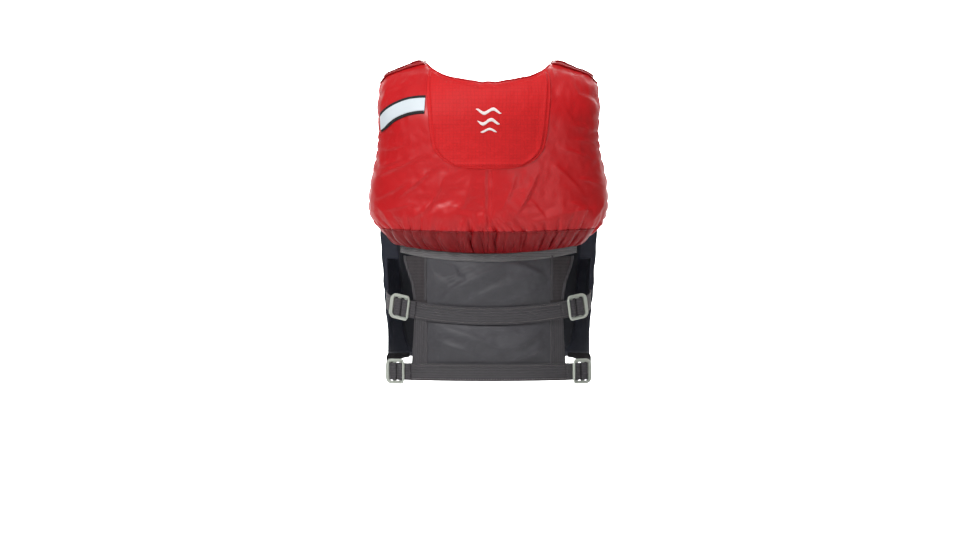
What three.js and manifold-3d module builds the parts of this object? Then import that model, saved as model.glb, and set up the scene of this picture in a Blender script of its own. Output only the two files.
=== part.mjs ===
// A buoyancy vest for paddling, shown zipped up as if it were worn. Millimetres, +Z up.
// The wearer faces +Y, so the back of the vest faces -Y and the wearer's right is +X.
// Every panel is laid out on the wearer's body like a flat pattern: t is the distance round the
// body from the centre of the back (or of the front), v the distance up from the hem and over the
// shoulder, and d the distance out from the body.
import * as THREE from 'three';
import { mergeVertices } from 'three/addons/utils/BufferGeometryUtils.js';
import Module from 'manifold-3d';

const wasm = await Module();
wasm.setup();

// ---- the body that the vest is cut for ----
const chestHalfWidth = 150;
const waistHalfWidth = 145;
const halfDepth = 100;
const flankRadius = 70;
const waistHeight = 100;
const chestHeight = 250;
const rollStart = 370;
const shoulderHeight = 452;
const shoulderReach = 95;
const shoulderSlope = 0.4;
const neckRise = 45;

// ---- foam and cloth ----
const backFoam = 36;
const frontFoam = 42;
const shoulderFoam = 14;
const padFoam = 12;
const fabric = 1.2;
const clearance = 0.4;
const edgeRound = 24;

// ---- back panel ----
const seamHeight = 217;
const seamLift = 6;
const gussetDrop = 31;
const gussetLift = 12;
const yokeBottom = 308;
const yokeHalfWidth = 73;
const reflectorWidth = 22;
const reflectorBand = 16;
const reflectorLow = 377;
const reflectorHigh = 394;

// ---- lower back ----
const hemTapeWidth = 10;
const panelHalfWidth = 94;
const lowerTopHalfWidth = 136;
const lowerWaistHalfWidth = 115;
const lowerHemHalfWidth = 119;

// ---- webbing and adjusters ----
const webWidth = 25;
const webThick = 1.6;
const midStrapHeight = 95;
const midStrapLift = 11;
const adjusterLength = 36;
const adjusterWidth = webWidth + 12;
const adjusterThick = 3.6;
const barWidth = 4.5;
const slotLength = 8;
const middleBar = 5;
const adjusterReach = 127;
const loopRoom = 1.25;

// ---- front panels ----
const frontBottom = 34;
const frontTop = 400;
const frontNeck = 330;
const zipGap = 9;
const zipDepth = 34;
const zipBottom = 44;
const zipTop = 326;
const pocketBottom = 78;
const pocketTop = 172;
const pocketInner = 26;
const pocketOuter = 126;
const pocketDepth = 15;
const sidePanelTop = 180;

// ---- small shared maths ----
const clamp = (x, low, high) => Math.min(high, Math.max(low, x));
const lerp = (a, b, k) => a + (b - a) * k;

function ease(low, high, x) {
  const k = clamp((x - low) / (high - low), 0, 1);
  return k * k * (3 - 2 * k);
}

// A smooth curve through [position, value] pairs.
function through(pairs, x) {
  const last = pairs.length - 1;
  if (x <= pairs[0][0]) return pairs[0][1];
  if (x >= pairs[last][0]) return pairs[last][1];
  let i = 0;
  while (x > pairs[i + 1][0]) i += 1;
  const slope = (k) => {
    if (k === 0 || k === last) return 0;
    return (pairs[k + 1][1] - pairs[k - 1][1]) / (pairs[k + 1][0] - pairs[k - 1][0]);
  };
  const span = pairs[i + 1][0] - pairs[i][0];
  const u = (x - pairs[i][0]) / span;
  const h1 = 2 * u ** 3 - 3 * u ** 2 + 1;
  const h2 = u ** 3 - 2 * u ** 2 + u;
  const h3 = u ** 3 - u ** 2;
  return h1 * pairs[i][1] + h2 * span * slope(i) + (1 - h1) * pairs[i + 1][1] + h3 * span * slope(i + 1);
}

// ---- the body surface ----
// A level section of the body is an oval: a shallow arc front and back, a tighter one at each side.
function section(v) {
  const a = lerp(waistHalfWidth, chestHalfWidth, ease(waistHeight, chestHeight, v));
  const flat = ((a - flankRadius) ** 2 + halfDepth ** 2 - flankRadius ** 2) / (2 * (halfDepth - flankRadius));
  const turn = Math.asin((a - flankRadius) / (flat - flankRadius));
  const arc = flat * turn;
  return { a, flat, turn, arc, quarter: arc + flankRadius * (Math.PI / 2 - turn) };
}

function sectionPoint(t, v) {
  const oval = section(v);
  const far = Math.abs(t);
  const side = t < 0 ? -1 : 1;
  if (far <= oval.arc) {
    const angle = far / oval.flat;
    return [side * oval.flat * Math.sin(angle), oval.flat - halfDepth - oval.flat * Math.cos(angle)];
  }
  const angle = oval.turn + (far - oval.arc) / flankRadius;
  return [side * (oval.a - flankRadius + flankRadius * Math.sin(angle)), -flankRadius * Math.cos(angle)];
}

// Height of the wearer's shoulder line, which falls to the arm and rises to the neck.
function shoulderLine(x) {
  const toNeck = Math.max(0, (shoulderReach - x) / shoulderReach);
  return shoulderHeight - shoulderSlope * (x - shoulderReach) + neckRise * toNeck ** 2;
}

function roll(t) {
  const [x, y] = sectionPoint(t, rollStart);
  const rise = shoulderLine(Math.abs(x)) - rollStart;
  return { x, y, rise, length: (Math.PI / 2) * Math.sqrt((rise ** 2 + y ** 2) / 2) };
}

function bodyPoint(t, v) {
  if (v <= rollStart) {
    const [x, y] = sectionPoint(t, v);
    return new THREE.Vector3(x, y, v);
  }
  const over = roll(t);
  const angle = ((v - rollStart) / over.length) * (Math.PI / 2);
  return new THREE.Vector3(over.x, over.y * Math.cos(angle), rollStart + over.rise * Math.sin(angle));
}

// A point off the body and the directions there. face is -1 on the back and +1 on the front.
function frameAt(face, t, v, d) {
  const step = 0.4;
  const point = bodyPoint(t, v);
  const along = bodyPoint(t + step, v).sub(bodyPoint(t - step, v)).normalize();
  const up = bodyPoint(t, v + step).sub(bodyPoint(t, v - step)).normalize();
  const out = along.clone().cross(up).normalize();
  point.addScaledVector(out, d);
  if (face > 0) {
    [point, along, up, out].forEach((vector) => {
      vector.y = -vector.y;
    });
  }
  return { point, along, up, out };
}

const surface = (face, t, v, d) => frameAt(face, t, v, d).point;

// Distance from the body's centre line to the plane of its side, round the body.
const quarter = (v) => section(v).quarter;

// ---- closed solids from grids of points ----
function closedGrid(near, far, across, along) {
  const points = [];
  const faces = [];
  const row = across + 1;
  const layer = row * (along + 1);
  [near, far].forEach((grid) => {
    for (let j = 0; j <= along; j += 1) {
      for (let i = 0; i <= across; i += 1) points.push(grid(i / across, j / along));
    }
  });
  const quad = (a, b, c, d) => faces.push(a, b, c, a, c, d);
  for (let j = 0; j < along; j += 1) {
    for (let i = 0; i < across; i += 1) {
      const p = j * row + i;
      quad(p, p + row, p + row + 1, p + 1);
      quad(layer + p, layer + p + 1, layer + p + row + 1, layer + p + row);
    }
  }
  for (let i = 0; i < across; i += 1) {
    const top = along * row + i;
    quad(i, i + 1, layer + i + 1, layer + i);
    quad(top, layer + top, layer + top + 1, top + 1);
  }
  for (let j = 0; j < along; j += 1) {
    const left = j * row;
    const right = left + across;
    quad(left, layer + left, layer + left + row, left + row);
    quad(right, right + row, layer + right + row, layer + right);
  }
  return orient(points, faces);
}

// Turns the faces outward, whichever way round the two grids were given.
function orient(points, faces) {
  let volume = 0;
  for (let k = 0; k < faces.length; k += 3) {
    const [a, b, c] = [points[faces[k]], points[faces[k + 1]], points[faces[k + 2]]];
    volume += a.dot(b.clone().cross(c));
  }
  const index = volume > 0 ? faces : faces.reverse();
  const geometry = new THREE.BufferGeometry();
  geometry.setAttribute('position', new THREE.Float32BufferAttribute(points.flatMap((p) => p.toArray()), 3));
  geometry.setIndex(index);
  return geometry;
}

// A sheet of even thickness over a grid of points, on the side that hint points to.
function sheet(grid, across, along, hint, off, thick) {
  const step = 0.01;
  const normal = (u, w) => {
    const du = grid(Math.min(u + step, 1), w).sub(grid(Math.max(u - step, 0), w));
    const dw = grid(u, Math.min(w + step, 1)).sub(grid(u, Math.max(w - step, 0)));
    const out = du.cross(dw).normalize();
    return out.dot(hint(u, w)) < 0 ? out.negate() : out;
  };
  const at = (distance) => (u, w) => grid(u, w).addScaledVector(normal(u, w), distance);
  return closedGrid(at(off), at(off + thick), across, along);
}

// ---- joining and cutting ----
function toSolid(geometry) {
  const bare = geometry.clone();
  bare.deleteAttribute('normal');
  bare.deleteAttribute('uv');
  const merged = mergeVertices(bare, 1e-4);
  return new wasm.Manifold(
    new wasm.Mesh({
      numProp: 3,
      vertProperties: new Float32Array(merged.attributes.position.array),
      triVerts: new Uint32Array(merged.index.array),
    })
  );
}

function toGeometry(solid) {
  const mesh = solid.getMesh();
  const geometry = new THREE.BufferGeometry();
  geometry.setAttribute('position', new THREE.BufferAttribute(new Float32Array(mesh.vertProperties), 3));
  geometry.setIndex(new THREE.BufferAttribute(new Uint32Array(mesh.triVerts), 1));
  return geometry;
}

const join = (geometries) => toGeometry(geometries.map(toSolid).reduce((whole, next) => whole.add(next)));

// ---- materials ----
const looks = {
  shellRed: [0xc8242a, 0.42],
  yokeRed: [0xd6262b, 0.6],
  gussetRed: [0x801418, 0.55],
  charcoal: [0x3f4046, 0.85],
  meshGrey: [0x2c2d31, 0.9],
  webbing: [0x5f5a58, 0.8],
  webbingPale: [0x8d8883, 0.8],
  webbingBlack: [0x17181a, 0.8],
  tapeGrey: [0x7c7e80, 0.8],
  lining: [0x23262b, 0.9],
  foam: [0xd9d4c4, 0.95],
  navy: [0x1f2530, 0.8],
  reflector: [0xd6dee2, 0.3],
  border: [0x1a1a1c, 0.8],
  buckle: [0xb4b9b0, 0.5],
  coil: [0x141414, 0.5],
};

const vest = new THREE.Group();

function add(name, geometry, look, parent = vest) {
  const [color, roughness] = looks[look];
  const mesh = new THREE.Mesh(geometry, new THREE.MeshStandardMaterial({ color, roughness, metalness: 0 }));
  mesh.name = name;
  parent.add(mesh);
  return mesh;
}

// ---- back panel: outline and thickness ----
const foamStart = clearance + fabric + clearance;
const skinTop = clearance + fabric;
const seamLine = (t) => seamHeight + seamLift * (t / 130) ** 2;
const gussetLine = (t) => seamHeight - gussetDrop + gussetLift * (t / 130) ** 2;

// How far the side edge of the back stays short of the wearer's side.
function backMargin(v) {
  const k = (v - seamHeight) / (rollStart - seamHeight);
  return through([
    [0.03, 54], [0.08, 41], [0.15, 31], [0.26, 23], [0.42, 25], [0.6, 34], [0.8, 43], [1, 46], [1.2, 39],
    [1.35, 30], [1.5, 26],
  ], k);
}

const backEdge = (v) => quarter(Math.min(v, rollStart)) - backMargin(v);

// The top edge: low across the neck and nearly to the top of the roll on the shoulders.
function backTop(t) {
  const far = Math.abs(t);
  const share = through([
    [0, 0.235], [20, 0.28], [38, 0.342], [58, 0.438], [76, 0.6], [88, 0.8], [100, 0.93], [116, 0.95],
  ], far);
  return rollStart + roll(t).length * share;
}

const backTopEdge = backEdge(rollStart * 2);
const backBottomEdge = backEdge(seamHeight);

function backPlace(s, w) {
  const low = seamLine(s * backBottomEdge);
  const v = lerp(low, backTop(s * backTopEdge), lerp(w, w * w, 0.45));
  return { t: s * backEdge(v), v };
}

function softEdge(distance, depth) {
  return 1 - depth * (1 - clamp(distance / edgeRound, 0, 1)) ** 2;
}

function backThick(t, v) {
  const core = lerp(backFoam, shoulderFoam, ease(rollStart + 5, rollStart + 90, v));
  const side = softEdge(backEdge(v) - Math.abs(t), 0.22);
  const top = softEdge(backTop(t) - v, 0.25);
  const bottom = softEdge(v - seamLine(t), 0.14);
  return foamStart + core * side * top * bottom;
}

function backOuter(s, w) {
  const { t, v } = backPlace(s, w);
  return surface(-1, t, v, backThick(t, v));
}

function backInner(s, w, d = foamStart) {
  const low = gussetLine(s * backBottomEdge);
  const top = backTop(s * backTopEdge);
  const outer = backPlace(s, w);
  return surface(-1, outer.t, lerp(low, top, w), d);
}

const signed = (u) => 2 * u - 1;
const outOfBack = () => new THREE.Vector3(0, -1, 0.3);
const COLUMNS = 14;
const ROWS = 12;
const rimOff = clearance * 3;

add('back_foam', closedGrid((u, w) => backInner(signed(u), w), (u, w) => backOuter(signed(u), w), COLUMNS, ROWS),
  'foam');
[-1, 1].forEach((side) => {
  const name = side < 0 ? 'left' : 'right';
  const centre = 0.002;
  const share = (u) => (side < 0 ? lerp(-1, -centre, u) : lerp(centre, 1, u));
  add(`back_shell_${name}`,
    sheet((u, w) => backOuter(share(u), w), COLUMNS / 2, ROWS, outOfBack, clearance, fabric),
    'shellRed');
  const gussetRow = (w) => lerp(1 / ROWS, 1, w);
  add(`back_side_gusset_${name}`,
    sheet((u, w) => backInner(side, gussetRow(w)).lerp(backOuter(side, gussetRow(w)), u), 1, ROWS - 1,
      () => new THREE.Vector3(side, 0.6, 0), rimOff, fabric),
    'gussetRed');
});
add('back_bottom_gusset',
  sheet((u, w) => backInner(signed(u), 0).lerp(backOuter(signed(u), 0), w), COLUMNS, 1,
    () => new THREE.Vector3(0, -0.6, -1), rimOff, fabric),
  'gussetRed');
add('back_top_binding',
  sheet((u, w) => backInner(signed(u), 1).lerp(backOuter(signed(u), 1), w), COLUMNS, 1,
    () => new THREE.Vector3(0, 0.7, 1), rimOff, fabric),
  'gussetRed');
add('back_liner',
  closedGrid((u, w) => backInner(signed(u), w, clearance), (u, w) => backInner(signed(u), w, skinTop), COLUMNS, ROWS),
  'lining');

// The yoke is a second layer over the top of the shell, with rounded lower corners.
function yokePlace(s, w) {
  const low = yokeBottom;
  const v = lerp(low, backTop(s * (yokeHalfWidth + 8)) - 4, w);
  const k = v - yokeBottom;
  const share = through([[0, 0.5], [5, 0.72], [14, 0.86], [32, 0.94], [66, 0.99], [128, 1.09]], k);
  return { t: s * yokeHalfWidth * share, v };
}

function onBack(place, off) {
  return (u, w) => {
    const { t, v } = place(u, w);
    return surface(-1, t, v, backThick(t, v) + off);
  };
}

const overShell = skinTop + 3 * clearance;
add('back_yoke', sheet(onBack((u, w) => yokePlace(signed(u), w), 0), 12, 14, outOfBack, overShell + 0.5, 1.6),
  'yokeRed');

// The reflective band crosses the left shoulder blade from the armhole to the yoke.
function reflectorPlace(width) {
  return (u, w) => {
    const rise = lerp(reflectorHigh, reflectorLow, u ** 1.15) + 3 * Math.sin(Math.PI * u);
    const v = rise + (w - 0.5) * width;
    return { t: -lerp(yokeHalfWidth + 10, backEdge(v) - 1.5, u), v };
  };
}
add('reflector_border', sheet(onBack(reflectorPlace(reflectorWidth), 0), 6, 2, outOfBack, overShell, 0.5), 'border');
add('reflector_band',
  sheet(onBack(reflectorPlace(reflectorBand), 0), 6, 2, outOfBack, overShell + 0.5 + clearance, 0.4), 'reflector');

// ---- lower back: hem tape, stretch panel, mesh and bindings ----
const lowerHalfWidth = (v) =>
  through([[0, lowerHemHalfWidth], [midStrapHeight, lowerWaistHalfWidth], [140, 117], [185, lowerTopHalfWidth]], v);

function strip(name, look, place, across, along, d, thick, face = -1) {
  const at = (off) => (u, w) => {
    const { t, v } = place(u, w);
    return surface(face, t, v, off);
  };
  add(name, closedGrid(at(d), at(d + thick), across, along), look);
}

const hemTop = (t) => gussetLine(t) - clearance - fabric - 2.3;
strip('hem_tape', 'tapeGrey', (u, w) => {
  const t = signed(u) * (backBottomEdge + 2);
  return { t, v: hemTop(t) - hemTapeWidth * (1 - w) };
}, COLUMNS, 1, 0.6, 1.8);

const panelTop = (t) => hemTop(t) - hemTapeWidth - 0.8;
strip('lower_back_panel', 'charcoal', (u, w) => {
  const t = signed(u) * panelHalfWidth;
  return { t, v: lerp(2, panelTop(t), w) };
}, 10, 8, 0.5, 1);

const upperLow = midStrapHeight + midStrapLift + 2;
[-1, 1].forEach((side) => {
  const name = side < 0 ? 'left' : 'right';
  const place = (low, high) => (u, w) => {
    const v = lerp(low, high, w);
    return { t: side * lerp(panelHalfWidth + clearance, lowerHalfWidth(v), u), v };
  };
  strip(`mesh_side_${name}`, 'meshGrey', place(upperLow, panelTop(panelHalfWidth) - 1), 2, 4, 0.5, 1);
  strip(`side_binding_${name}`, 'webbing', place(2, upperLow - clearance * 2), 2, 5, 0.5, 1);
});

// ---- adjusters, their loops and the webbing threaded through them ----
// Local axes: x along the strap away from the sewn bar, y across the strap, z out from the body.
const slot1 = barWidth;
const slot2 = barWidth + slotLength + middleBar;

function roundedBox(x0, x1, half, radius0, radius1, hole) {
  const shape = hole ? new THREE.Path() : new THREE.Shape();
  shape.moveTo(x0 + radius0, -half);
  shape.lineTo(x1 - radius1, -half);
  shape.quadraticCurveTo(x1, -half, x1, -half + radius1);
  shape.lineTo(x1, half - radius1);
  shape.quadraticCurveTo(x1, half, x1 - radius1, half);
  shape.lineTo(x0 + radius0, half);
  shape.quadraticCurveTo(x0, half, x0, half - radius0);
  shape.lineTo(x0, -half + radius0);
  shape.quadraticCurveTo(x0, -half, x0 + radius0, -half);
  return shape;
}

function adjusterGeometry() {
  const outline = roundedBox(0, adjusterLength, adjusterWidth / 2, 6, 13, false);
  const slotHalf = webWidth / 2 + 1.2;
  outline.holes.push(roundedBox(slot1, slot1 + slotLength, slotHalf, 1.5, 1.5, true));
  outline.holes.push(roundedBox(slot2, slot2 + slotLength, slotHalf, 1.5, 2.5, true));
  return new THREE.ExtrudeGeometry(outline, { depth: adjusterThick, bevelEnabled: false, curveSegments: 3 });
}

// A ribbon of webbing that follows points [x, z] in the local frame.
function ribbon(points, thick, width) {
  const path = points.map(([x, z]) => new THREE.Vector2(x, z));
  const side = (sign) => path.map((p, i) => {
    const before = path[Math.max(i - 1, 0)];
    const after = path[Math.min(i + 1, path.length - 1)];
    const along = after.clone().sub(before).normalize();
    return new THREE.Vector2(p.x - (sign * along.y * thick) / 2, p.y + (sign * along.x * thick) / 2);
  });
  const shape = new THREE.Shape([...side(1), ...side(-1).reverse()]);
  const geometry = new THREE.ExtrudeGeometry(shape, { depth: width, bevelEnabled: false });
  geometry.rotateX(Math.PI / 2);
  geometry.translate(0, width / 2, 0);
  return geometry;
}

function threadedGeometry() {
  const high = adjusterThick + clearance + webThick / 2;
  const low = -clearance - webThick / 2;
  const inner = slot1 + slotLength - 2;
  const outer = slot2 + 2.2;
  return ribbon([
    [inner - 1.2, low], [inner, -0.2], [inner + 0.3, adjusterThick - 0.4], [inner + 1.8, high],
    [outer - 2, high], [outer - 0.3, adjusterThick - 0.4], [outer + 0.6, 0.4], [outer + 2.6, low],
    [adjusterLength - 4, low],
  ], webThick * 0.8, webWidth);
}

// The end of a strap, folded round the adjuster's sewn bar and stitched to itself.
function loopGeometry(tail) {
  const room = loopRoom;
  const wall = webThick * 0.8;
  const shape = new THREE.Shape();
  const top = adjusterThick + room + wall;
  const low = -room - wall;
  const right = barWidth + room + wall;
  shape.moveTo(-tail, low);
  shape.lineTo(right - 1, low);
  shape.lineTo(right, low + 1);
  shape.lineTo(right, top - 1);
  shape.lineTo(right - 1, top);
  shape.lineTo(-room - wall - 1, top);
  shape.lineTo(-tail, low + 2.4);
  const hole = new THREE.Path();
  hole.moveTo(-room, -room);
  hole.lineTo(barWidth + room, -room);
  hole.lineTo(barWidth + room, adjusterThick + room);
  hole.lineTo(-room, adjusterThick + room);
  shape.holes.push(hole);
  const geometry = new THREE.ExtrudeGeometry(shape, { depth: webWidth, bevelEnabled: false });
  geometry.rotateX(Math.PI / 2);
  geometry.translate(0, webWidth / 2, 0);
  return geometry;
}

// Places local geometry on the body: x runs round the body away from its centre, or up when lift is set.
function seat(face, t, v, d, lift = false, tilt = 0) {
  const { point, along, up, out } = frameAt(face, t, v, d);
  const side = t < 0 ? -1 : 1;
  const x = lift ? up.clone() : along.clone().multiplyScalar(side);
  x.applyAxisAngle(out, tilt);
  const y = out.clone().cross(x);
  const group = new THREE.Group();
  group.applyMatrix4(new THREE.Matrix4().makeBasis(x, y, out).setPosition(point));
  vest.add(group);
  group.updateMatrixWorld(true);
  return group;
}

const adjusterRise = 2 * clearance + webThick + loopRoom + 1.05;
const strapStart = 2.4;
const waistCentre = webWidth / 2 + 0.5;
const midLine = (t) => midStrapHeight + midStrapLift * (t / adjusterReach) ** 2;
const levels = {
  mid: { line: midLine, reach: adjusterReach, look: 'webbing', side: 'webbingPale', end: 8 },
  waist: { line: () => waistCentre, reach: adjusterReach + 9, look: 'webbing', side: 'webbingBlack', end: 22 },
};

Object.entries(levels).forEach(([level, { line, reach, look, side: sideLook, end }]) => {
  const strapReach = reach - 10;
  const strapAt = (off) => (u, w) => {
    const t = signed(u) * strapReach;
    return surface(-1, t, line(t) + (w - 0.5) * webWidth, off);
  };
  const pieces = [closedGrid(strapAt(strapStart), strapAt(strapStart + webThick), 12, 1)];
  [-1, 1].forEach((side) => {
    const name = side < 0 ? 'left' : 'right';
    const t = side * reach;
    const slope = Math.atan2(line(reach) - line(reach - 8), 8);
    const holder = seat(-1, t, line(t), adjusterRise, false, side * slope);
    add(`${level}_adjuster_${name}`, adjusterGeometry(), 'buckle', holder);
    add(`${level}_threaded_web_${name}`, threadedGeometry(), sideLook, holder);
    pieces.push(loopGeometry(14).applyMatrix4(holder.matrixWorld));
    const start = reach + adjusterLength + 1;
    const rise = Math.tan(slope) * (adjusterLength + 1);
    strip(`${level}_side_strap_${name}`, sideLook, (u, w) => {
      const across = webWidth - 1;
      const v = line(reach) + lerp(rise, end, u) + (w - 0.5) * across;
      return { t: side * lerp(start, quarter(v) - 1, u), v };
    }, 5, 1, strapStart + 0.4, webThick);
  });
  add(`${level}_strap_back`, join(pieces), look);
});

// ---- front panels ----
const zipSide = zipGap - clearance - fabric - 0.6;
const frontMargin = (v) => through([
  [34, 74], [48, 60], [80, 50], [160, 45], [250, 44], [300, 50], [345, 66], [400, 74],
], v);
const frontEdge = (v) => quarter(v) - frontMargin(v);
const frontNeckEdge = (v) => through([[frontNeck, zipGap], [frontNeck + 25, 20], [frontTop, 50]], v);

function frontPlace(side, s, w) {
  const v = lerp(frontBottom, frontTop, w);
  return { t: side * lerp(frontNeckEdge(v), frontEdge(v), s), v };
}

function frontThick(t, v) {
  const far = Math.abs(t);
  const core = lerp(frontFoam, shoulderFoam + 4, ease(frontNeck - 10, frontTop, v));
  const edge = softEdge(frontEdge(v) - far, 0.3) * softEdge(far - frontNeckEdge(v), 0.2);
  return foamStart + core * edge * softEdge(v - frontBottom, 0.3) * softEdge(frontTop - v, 0.2);
}

function frontOuter(side, s, w) {
  const { t, v } = frontPlace(side, s, w);
  return surface(1, t, v, frontThick(t, v));
}

function frontInner(side, s, w, d = foamStart) {
  const { t, v } = frontPlace(side, s, w);
  return surface(1, t, v, d);
}

const outOfFront = () => new THREE.Vector3(0, 1, 0.2);
const FRONT_COLUMNS = 7;
const FRONT_ROWS = 12;
const splitRow = 7;

[-1, 1].forEach((side) => {
  const name = side < 0 ? 'left' : 'right';
  const front = (part) => `front_${name}_${part}`;
  add(front('foam'),
    closedGrid((u, w) => frontInner(side, u, w), (u, w) => frontOuter(side, u, w), FRONT_COLUMNS, FRONT_ROWS), 'foam');
  const split = splitRow / FRONT_ROWS;
  add(front('shell_upper'),
    sheet((u, w) => frontOuter(side, u, lerp(split, 1, w)), FRONT_COLUMNS, FRONT_ROWS - splitRow, outOfFront,
      clearance, fabric), 'shellRed');
  add(front('shell_lower'),
    sheet((u, w) => frontOuter(side, u, lerp(0, split - 0.001, w)), FRONT_COLUMNS, splitRow, outOfFront,
      clearance, fabric), 'navy');
  add(front('liner'),
    closedGrid((u, w) => frontInner(side, u, w, clearance), (u, w) => frontInner(side, u, w, skinTop),
      FRONT_COLUMNS, FRONT_ROWS), 'lining');
  strip(front('side_panel'), 'navy', (u, w) => {
    const v = lerp(frontBottom + 4, sidePanelTop, w);
    return { t: side * lerp(frontEdge(v) + 3, quarter(v) - 1, u), v };
  }, 3, 6, 3.6, 2, 1);

  // zipper: a tape with its row of teeth, on each side of the centre
  strip(front('zipper_tape'), 'coil', (u, w) => ({
    t: side * lerp(0.3, zipSide, u), v: lerp(zipBottom, zipTop, w),
  }), 1, 4, zipDepth, 1, 1);
  strip(front('zipper_teeth'), 'coil', (u, w) => ({
    t: side * lerp(0.3, 2.6, u), v: lerp(zipBottom, zipTop, w),
  }), 1, 4, zipDepth + 1 + 0.3, 2, 1);

  // pocket with its own short zipper
  const pocketPlace = (u, w) => {
    const v = lerp(pocketBottom, pocketTop, w);
    const corner = 10 * (1 - clamp(Math.min(v - pocketBottom, pocketTop - v) / 12, 0, 1)) ** 2;
    return { t: side * lerp(pocketInner + corner, pocketOuter - corner, u), v };
  };
  const onFront = (place) => (u, w) => {
    const { t, v } = place(u, w);
    return surface(1, t, v, frontThick(t, v));
  };
  add(front('pocket'), sheet(onFront(pocketPlace), 5, 5, outOfFront, overShell + 0.4, pocketDepth), 'navy');
  const zipAt = side * (pocketInner + 24);
  const zipMiddle = (pocketBottom + pocketTop) / 2;
  const pocketFace = frontThick(zipAt, zipMiddle) + overShell + pocketDepth + 1.2;
  const pocketZip = seat(1, zipAt, zipMiddle, pocketFace, true);
  const zipLength = pocketTop - pocketBottom - 26;
  const track = new THREE.BoxGeometry(zipLength, 9, 1.2);
  add(front('pocket_zip'), track.translate(0, 0, 0.6), 'coil', pocketZip);
  const plate = new THREE.BoxGeometry(11, 7, 2.6);
  const tab = new THREE.BoxGeometry(24, 5, 1.4);
  plate.translate(zipLength / 2 - 6, 0, 1.2 + clearance + 1.3);
  tab.translate(zipLength / 2 - 18, 0, 1.2 + clearance + 3);
  add(front('pocket_slider'), join([plate, tab]), 'buckle', pocketZip);

  // shoulder: a thin pad over the shoulder, webbing along it and an adjuster at its foot
  const padPlace = (u, w) => {
    const topInner = 84;
    const topOuter = backTopEdge - 2;
    const share = 0.95;
    const tTop = lerp(topInner, topOuter, u);
    const vTop = rollStart + roll(tTop).length * share;
    const low = frontTop + 4;
    const v = lerp(low, vTop, w);
    const t = lerp(lerp(60, 121, u), tTop, ease(0, 0.8, w));
    return { t: side * t, v: Math.min(v, rollStart + roll(t).length * share) };
  };
  strip(front('shoulder_pad'), 'shellRed', padPlace, 4, 7, foamStart - 1, padFoam, 1);
  const webTop = foamStart - 1 + padFoam + 1.1;
  const adjusterBase = 378;
  const adjusterT = 86;
  const adjusterD = frontThick(adjusterT, adjusterBase + 6) + overShell + 2.4;
  const holder = seat(1, side * adjusterT, adjusterBase, adjusterD, true);
  add(`shoulder_adjuster_${name}`, adjusterGeometry(), 'buckle', holder);
  const webPlace = (u, w) => {
    const v = lerp(adjusterBase + adjusterLength + 14, 462, w);
    return { t: side * (lerp(adjusterT + 4, 112, w) + (u - 0.5) * webWidth), v };
  };
  strip(front('shoulder_web'), 'webbingBlack', webPlace, 1, 5, webTop, webThick, 1);
});

// ---- main zipper slider and its pull ----
const sliderHeight = 14;
const sliderTop = zipTop - 3;
const sliderFace = zipDepth + 1 + 0.3 + 2 + clearance;
const sliderGroup = seat(1, 0.001, sliderTop - sliderHeight / 2, sliderFace, true);
const sliderBody = new THREE.BoxGeometry(sliderHeight, 11, 2.8);
sliderBody.translate(0, 0, 1.4);
const bailSide = (y) => new THREE.BoxGeometry(3, 1.4, 3.4).translate(2, y, 4.4);
add('zipper_slider', join([sliderBody, bailSide(-3.1), bailSide(3.1)]), 'buckle', sliderGroup);
const pullShape = roundedBox(-30, 1, 2.1, 1.4, 0.8, false);
const pull = new THREE.ExtrudeGeometry(pullShape, { depth: 1.6, bevelEnabled: false, curveSegments: 3 });
pull.translate(2, 0, 2.8 + clearance * 2);
add('zipper_pull', pull, 'buckle', sliderGroup);

// The origin is where the vest hangs: the middle of the line over the wearer's two shoulders.
vest.position.z = -shoulderHeight;
const root = new THREE.Group();
root.add(vest);
root.updateMatrixWorld(true);

export default root;
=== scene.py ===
"""Looks for a paddler's buoyancy vest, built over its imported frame. Metres, +Z up, the wearer faces +Y."""
import math

import bmesh
import bpy
import numpy as np
from mathutils import Matrix, Vector, noise


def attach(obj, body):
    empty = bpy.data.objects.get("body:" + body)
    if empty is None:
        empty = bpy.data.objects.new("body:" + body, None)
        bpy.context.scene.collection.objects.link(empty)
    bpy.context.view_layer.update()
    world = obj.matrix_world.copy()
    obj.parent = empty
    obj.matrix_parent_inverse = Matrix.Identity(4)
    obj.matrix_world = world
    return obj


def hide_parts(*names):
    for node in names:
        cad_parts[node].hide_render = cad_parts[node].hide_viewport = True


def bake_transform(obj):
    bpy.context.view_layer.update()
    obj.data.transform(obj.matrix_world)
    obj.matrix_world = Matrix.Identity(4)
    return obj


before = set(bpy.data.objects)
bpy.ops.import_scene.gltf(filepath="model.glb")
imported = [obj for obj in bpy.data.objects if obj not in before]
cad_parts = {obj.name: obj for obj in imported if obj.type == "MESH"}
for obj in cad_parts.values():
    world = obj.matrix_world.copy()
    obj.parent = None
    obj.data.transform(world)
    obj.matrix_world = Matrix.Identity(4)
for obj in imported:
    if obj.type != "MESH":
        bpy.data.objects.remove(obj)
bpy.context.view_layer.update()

# ---- the body that the vest is cut for, in millimetres, z from the waist hem ----
CHEST_HALF, WAIST_HALF, HALF_DEPTH, FLANK = 150.0, 145.0, 100.0, 70.0
WAIST_HEIGHT, CHEST_HEIGHT, ROLL_START = 100.0, 250.0, 370.0
SHOULDER_HEIGHT, SHOULDER_REACH, SHOULDER_SLOPE, NECK_RISE = 452.0, 95.0, 0.4, 45.0
BACK_FOAM, FRONT_FOAM, SHOULDER_FOAM = 36.0, 42.0, 18.0
FOAM_START, EDGE_ROUND = 2.0, 24.0
SHELL = 1.6
SEAM_HEIGHT, SEAM_LIFT, GUSSET_DROP, GUSSET_LIFT, SEAM_REACH = 217.0, 6.0, 31.0, 12.0, 130.0
YOKE_BOTTOM, YOKE_HALF, YOKE_TOP_HALF, YOKE_TOP_GAP = 308.0, 73.0, 81.0, 3
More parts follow.
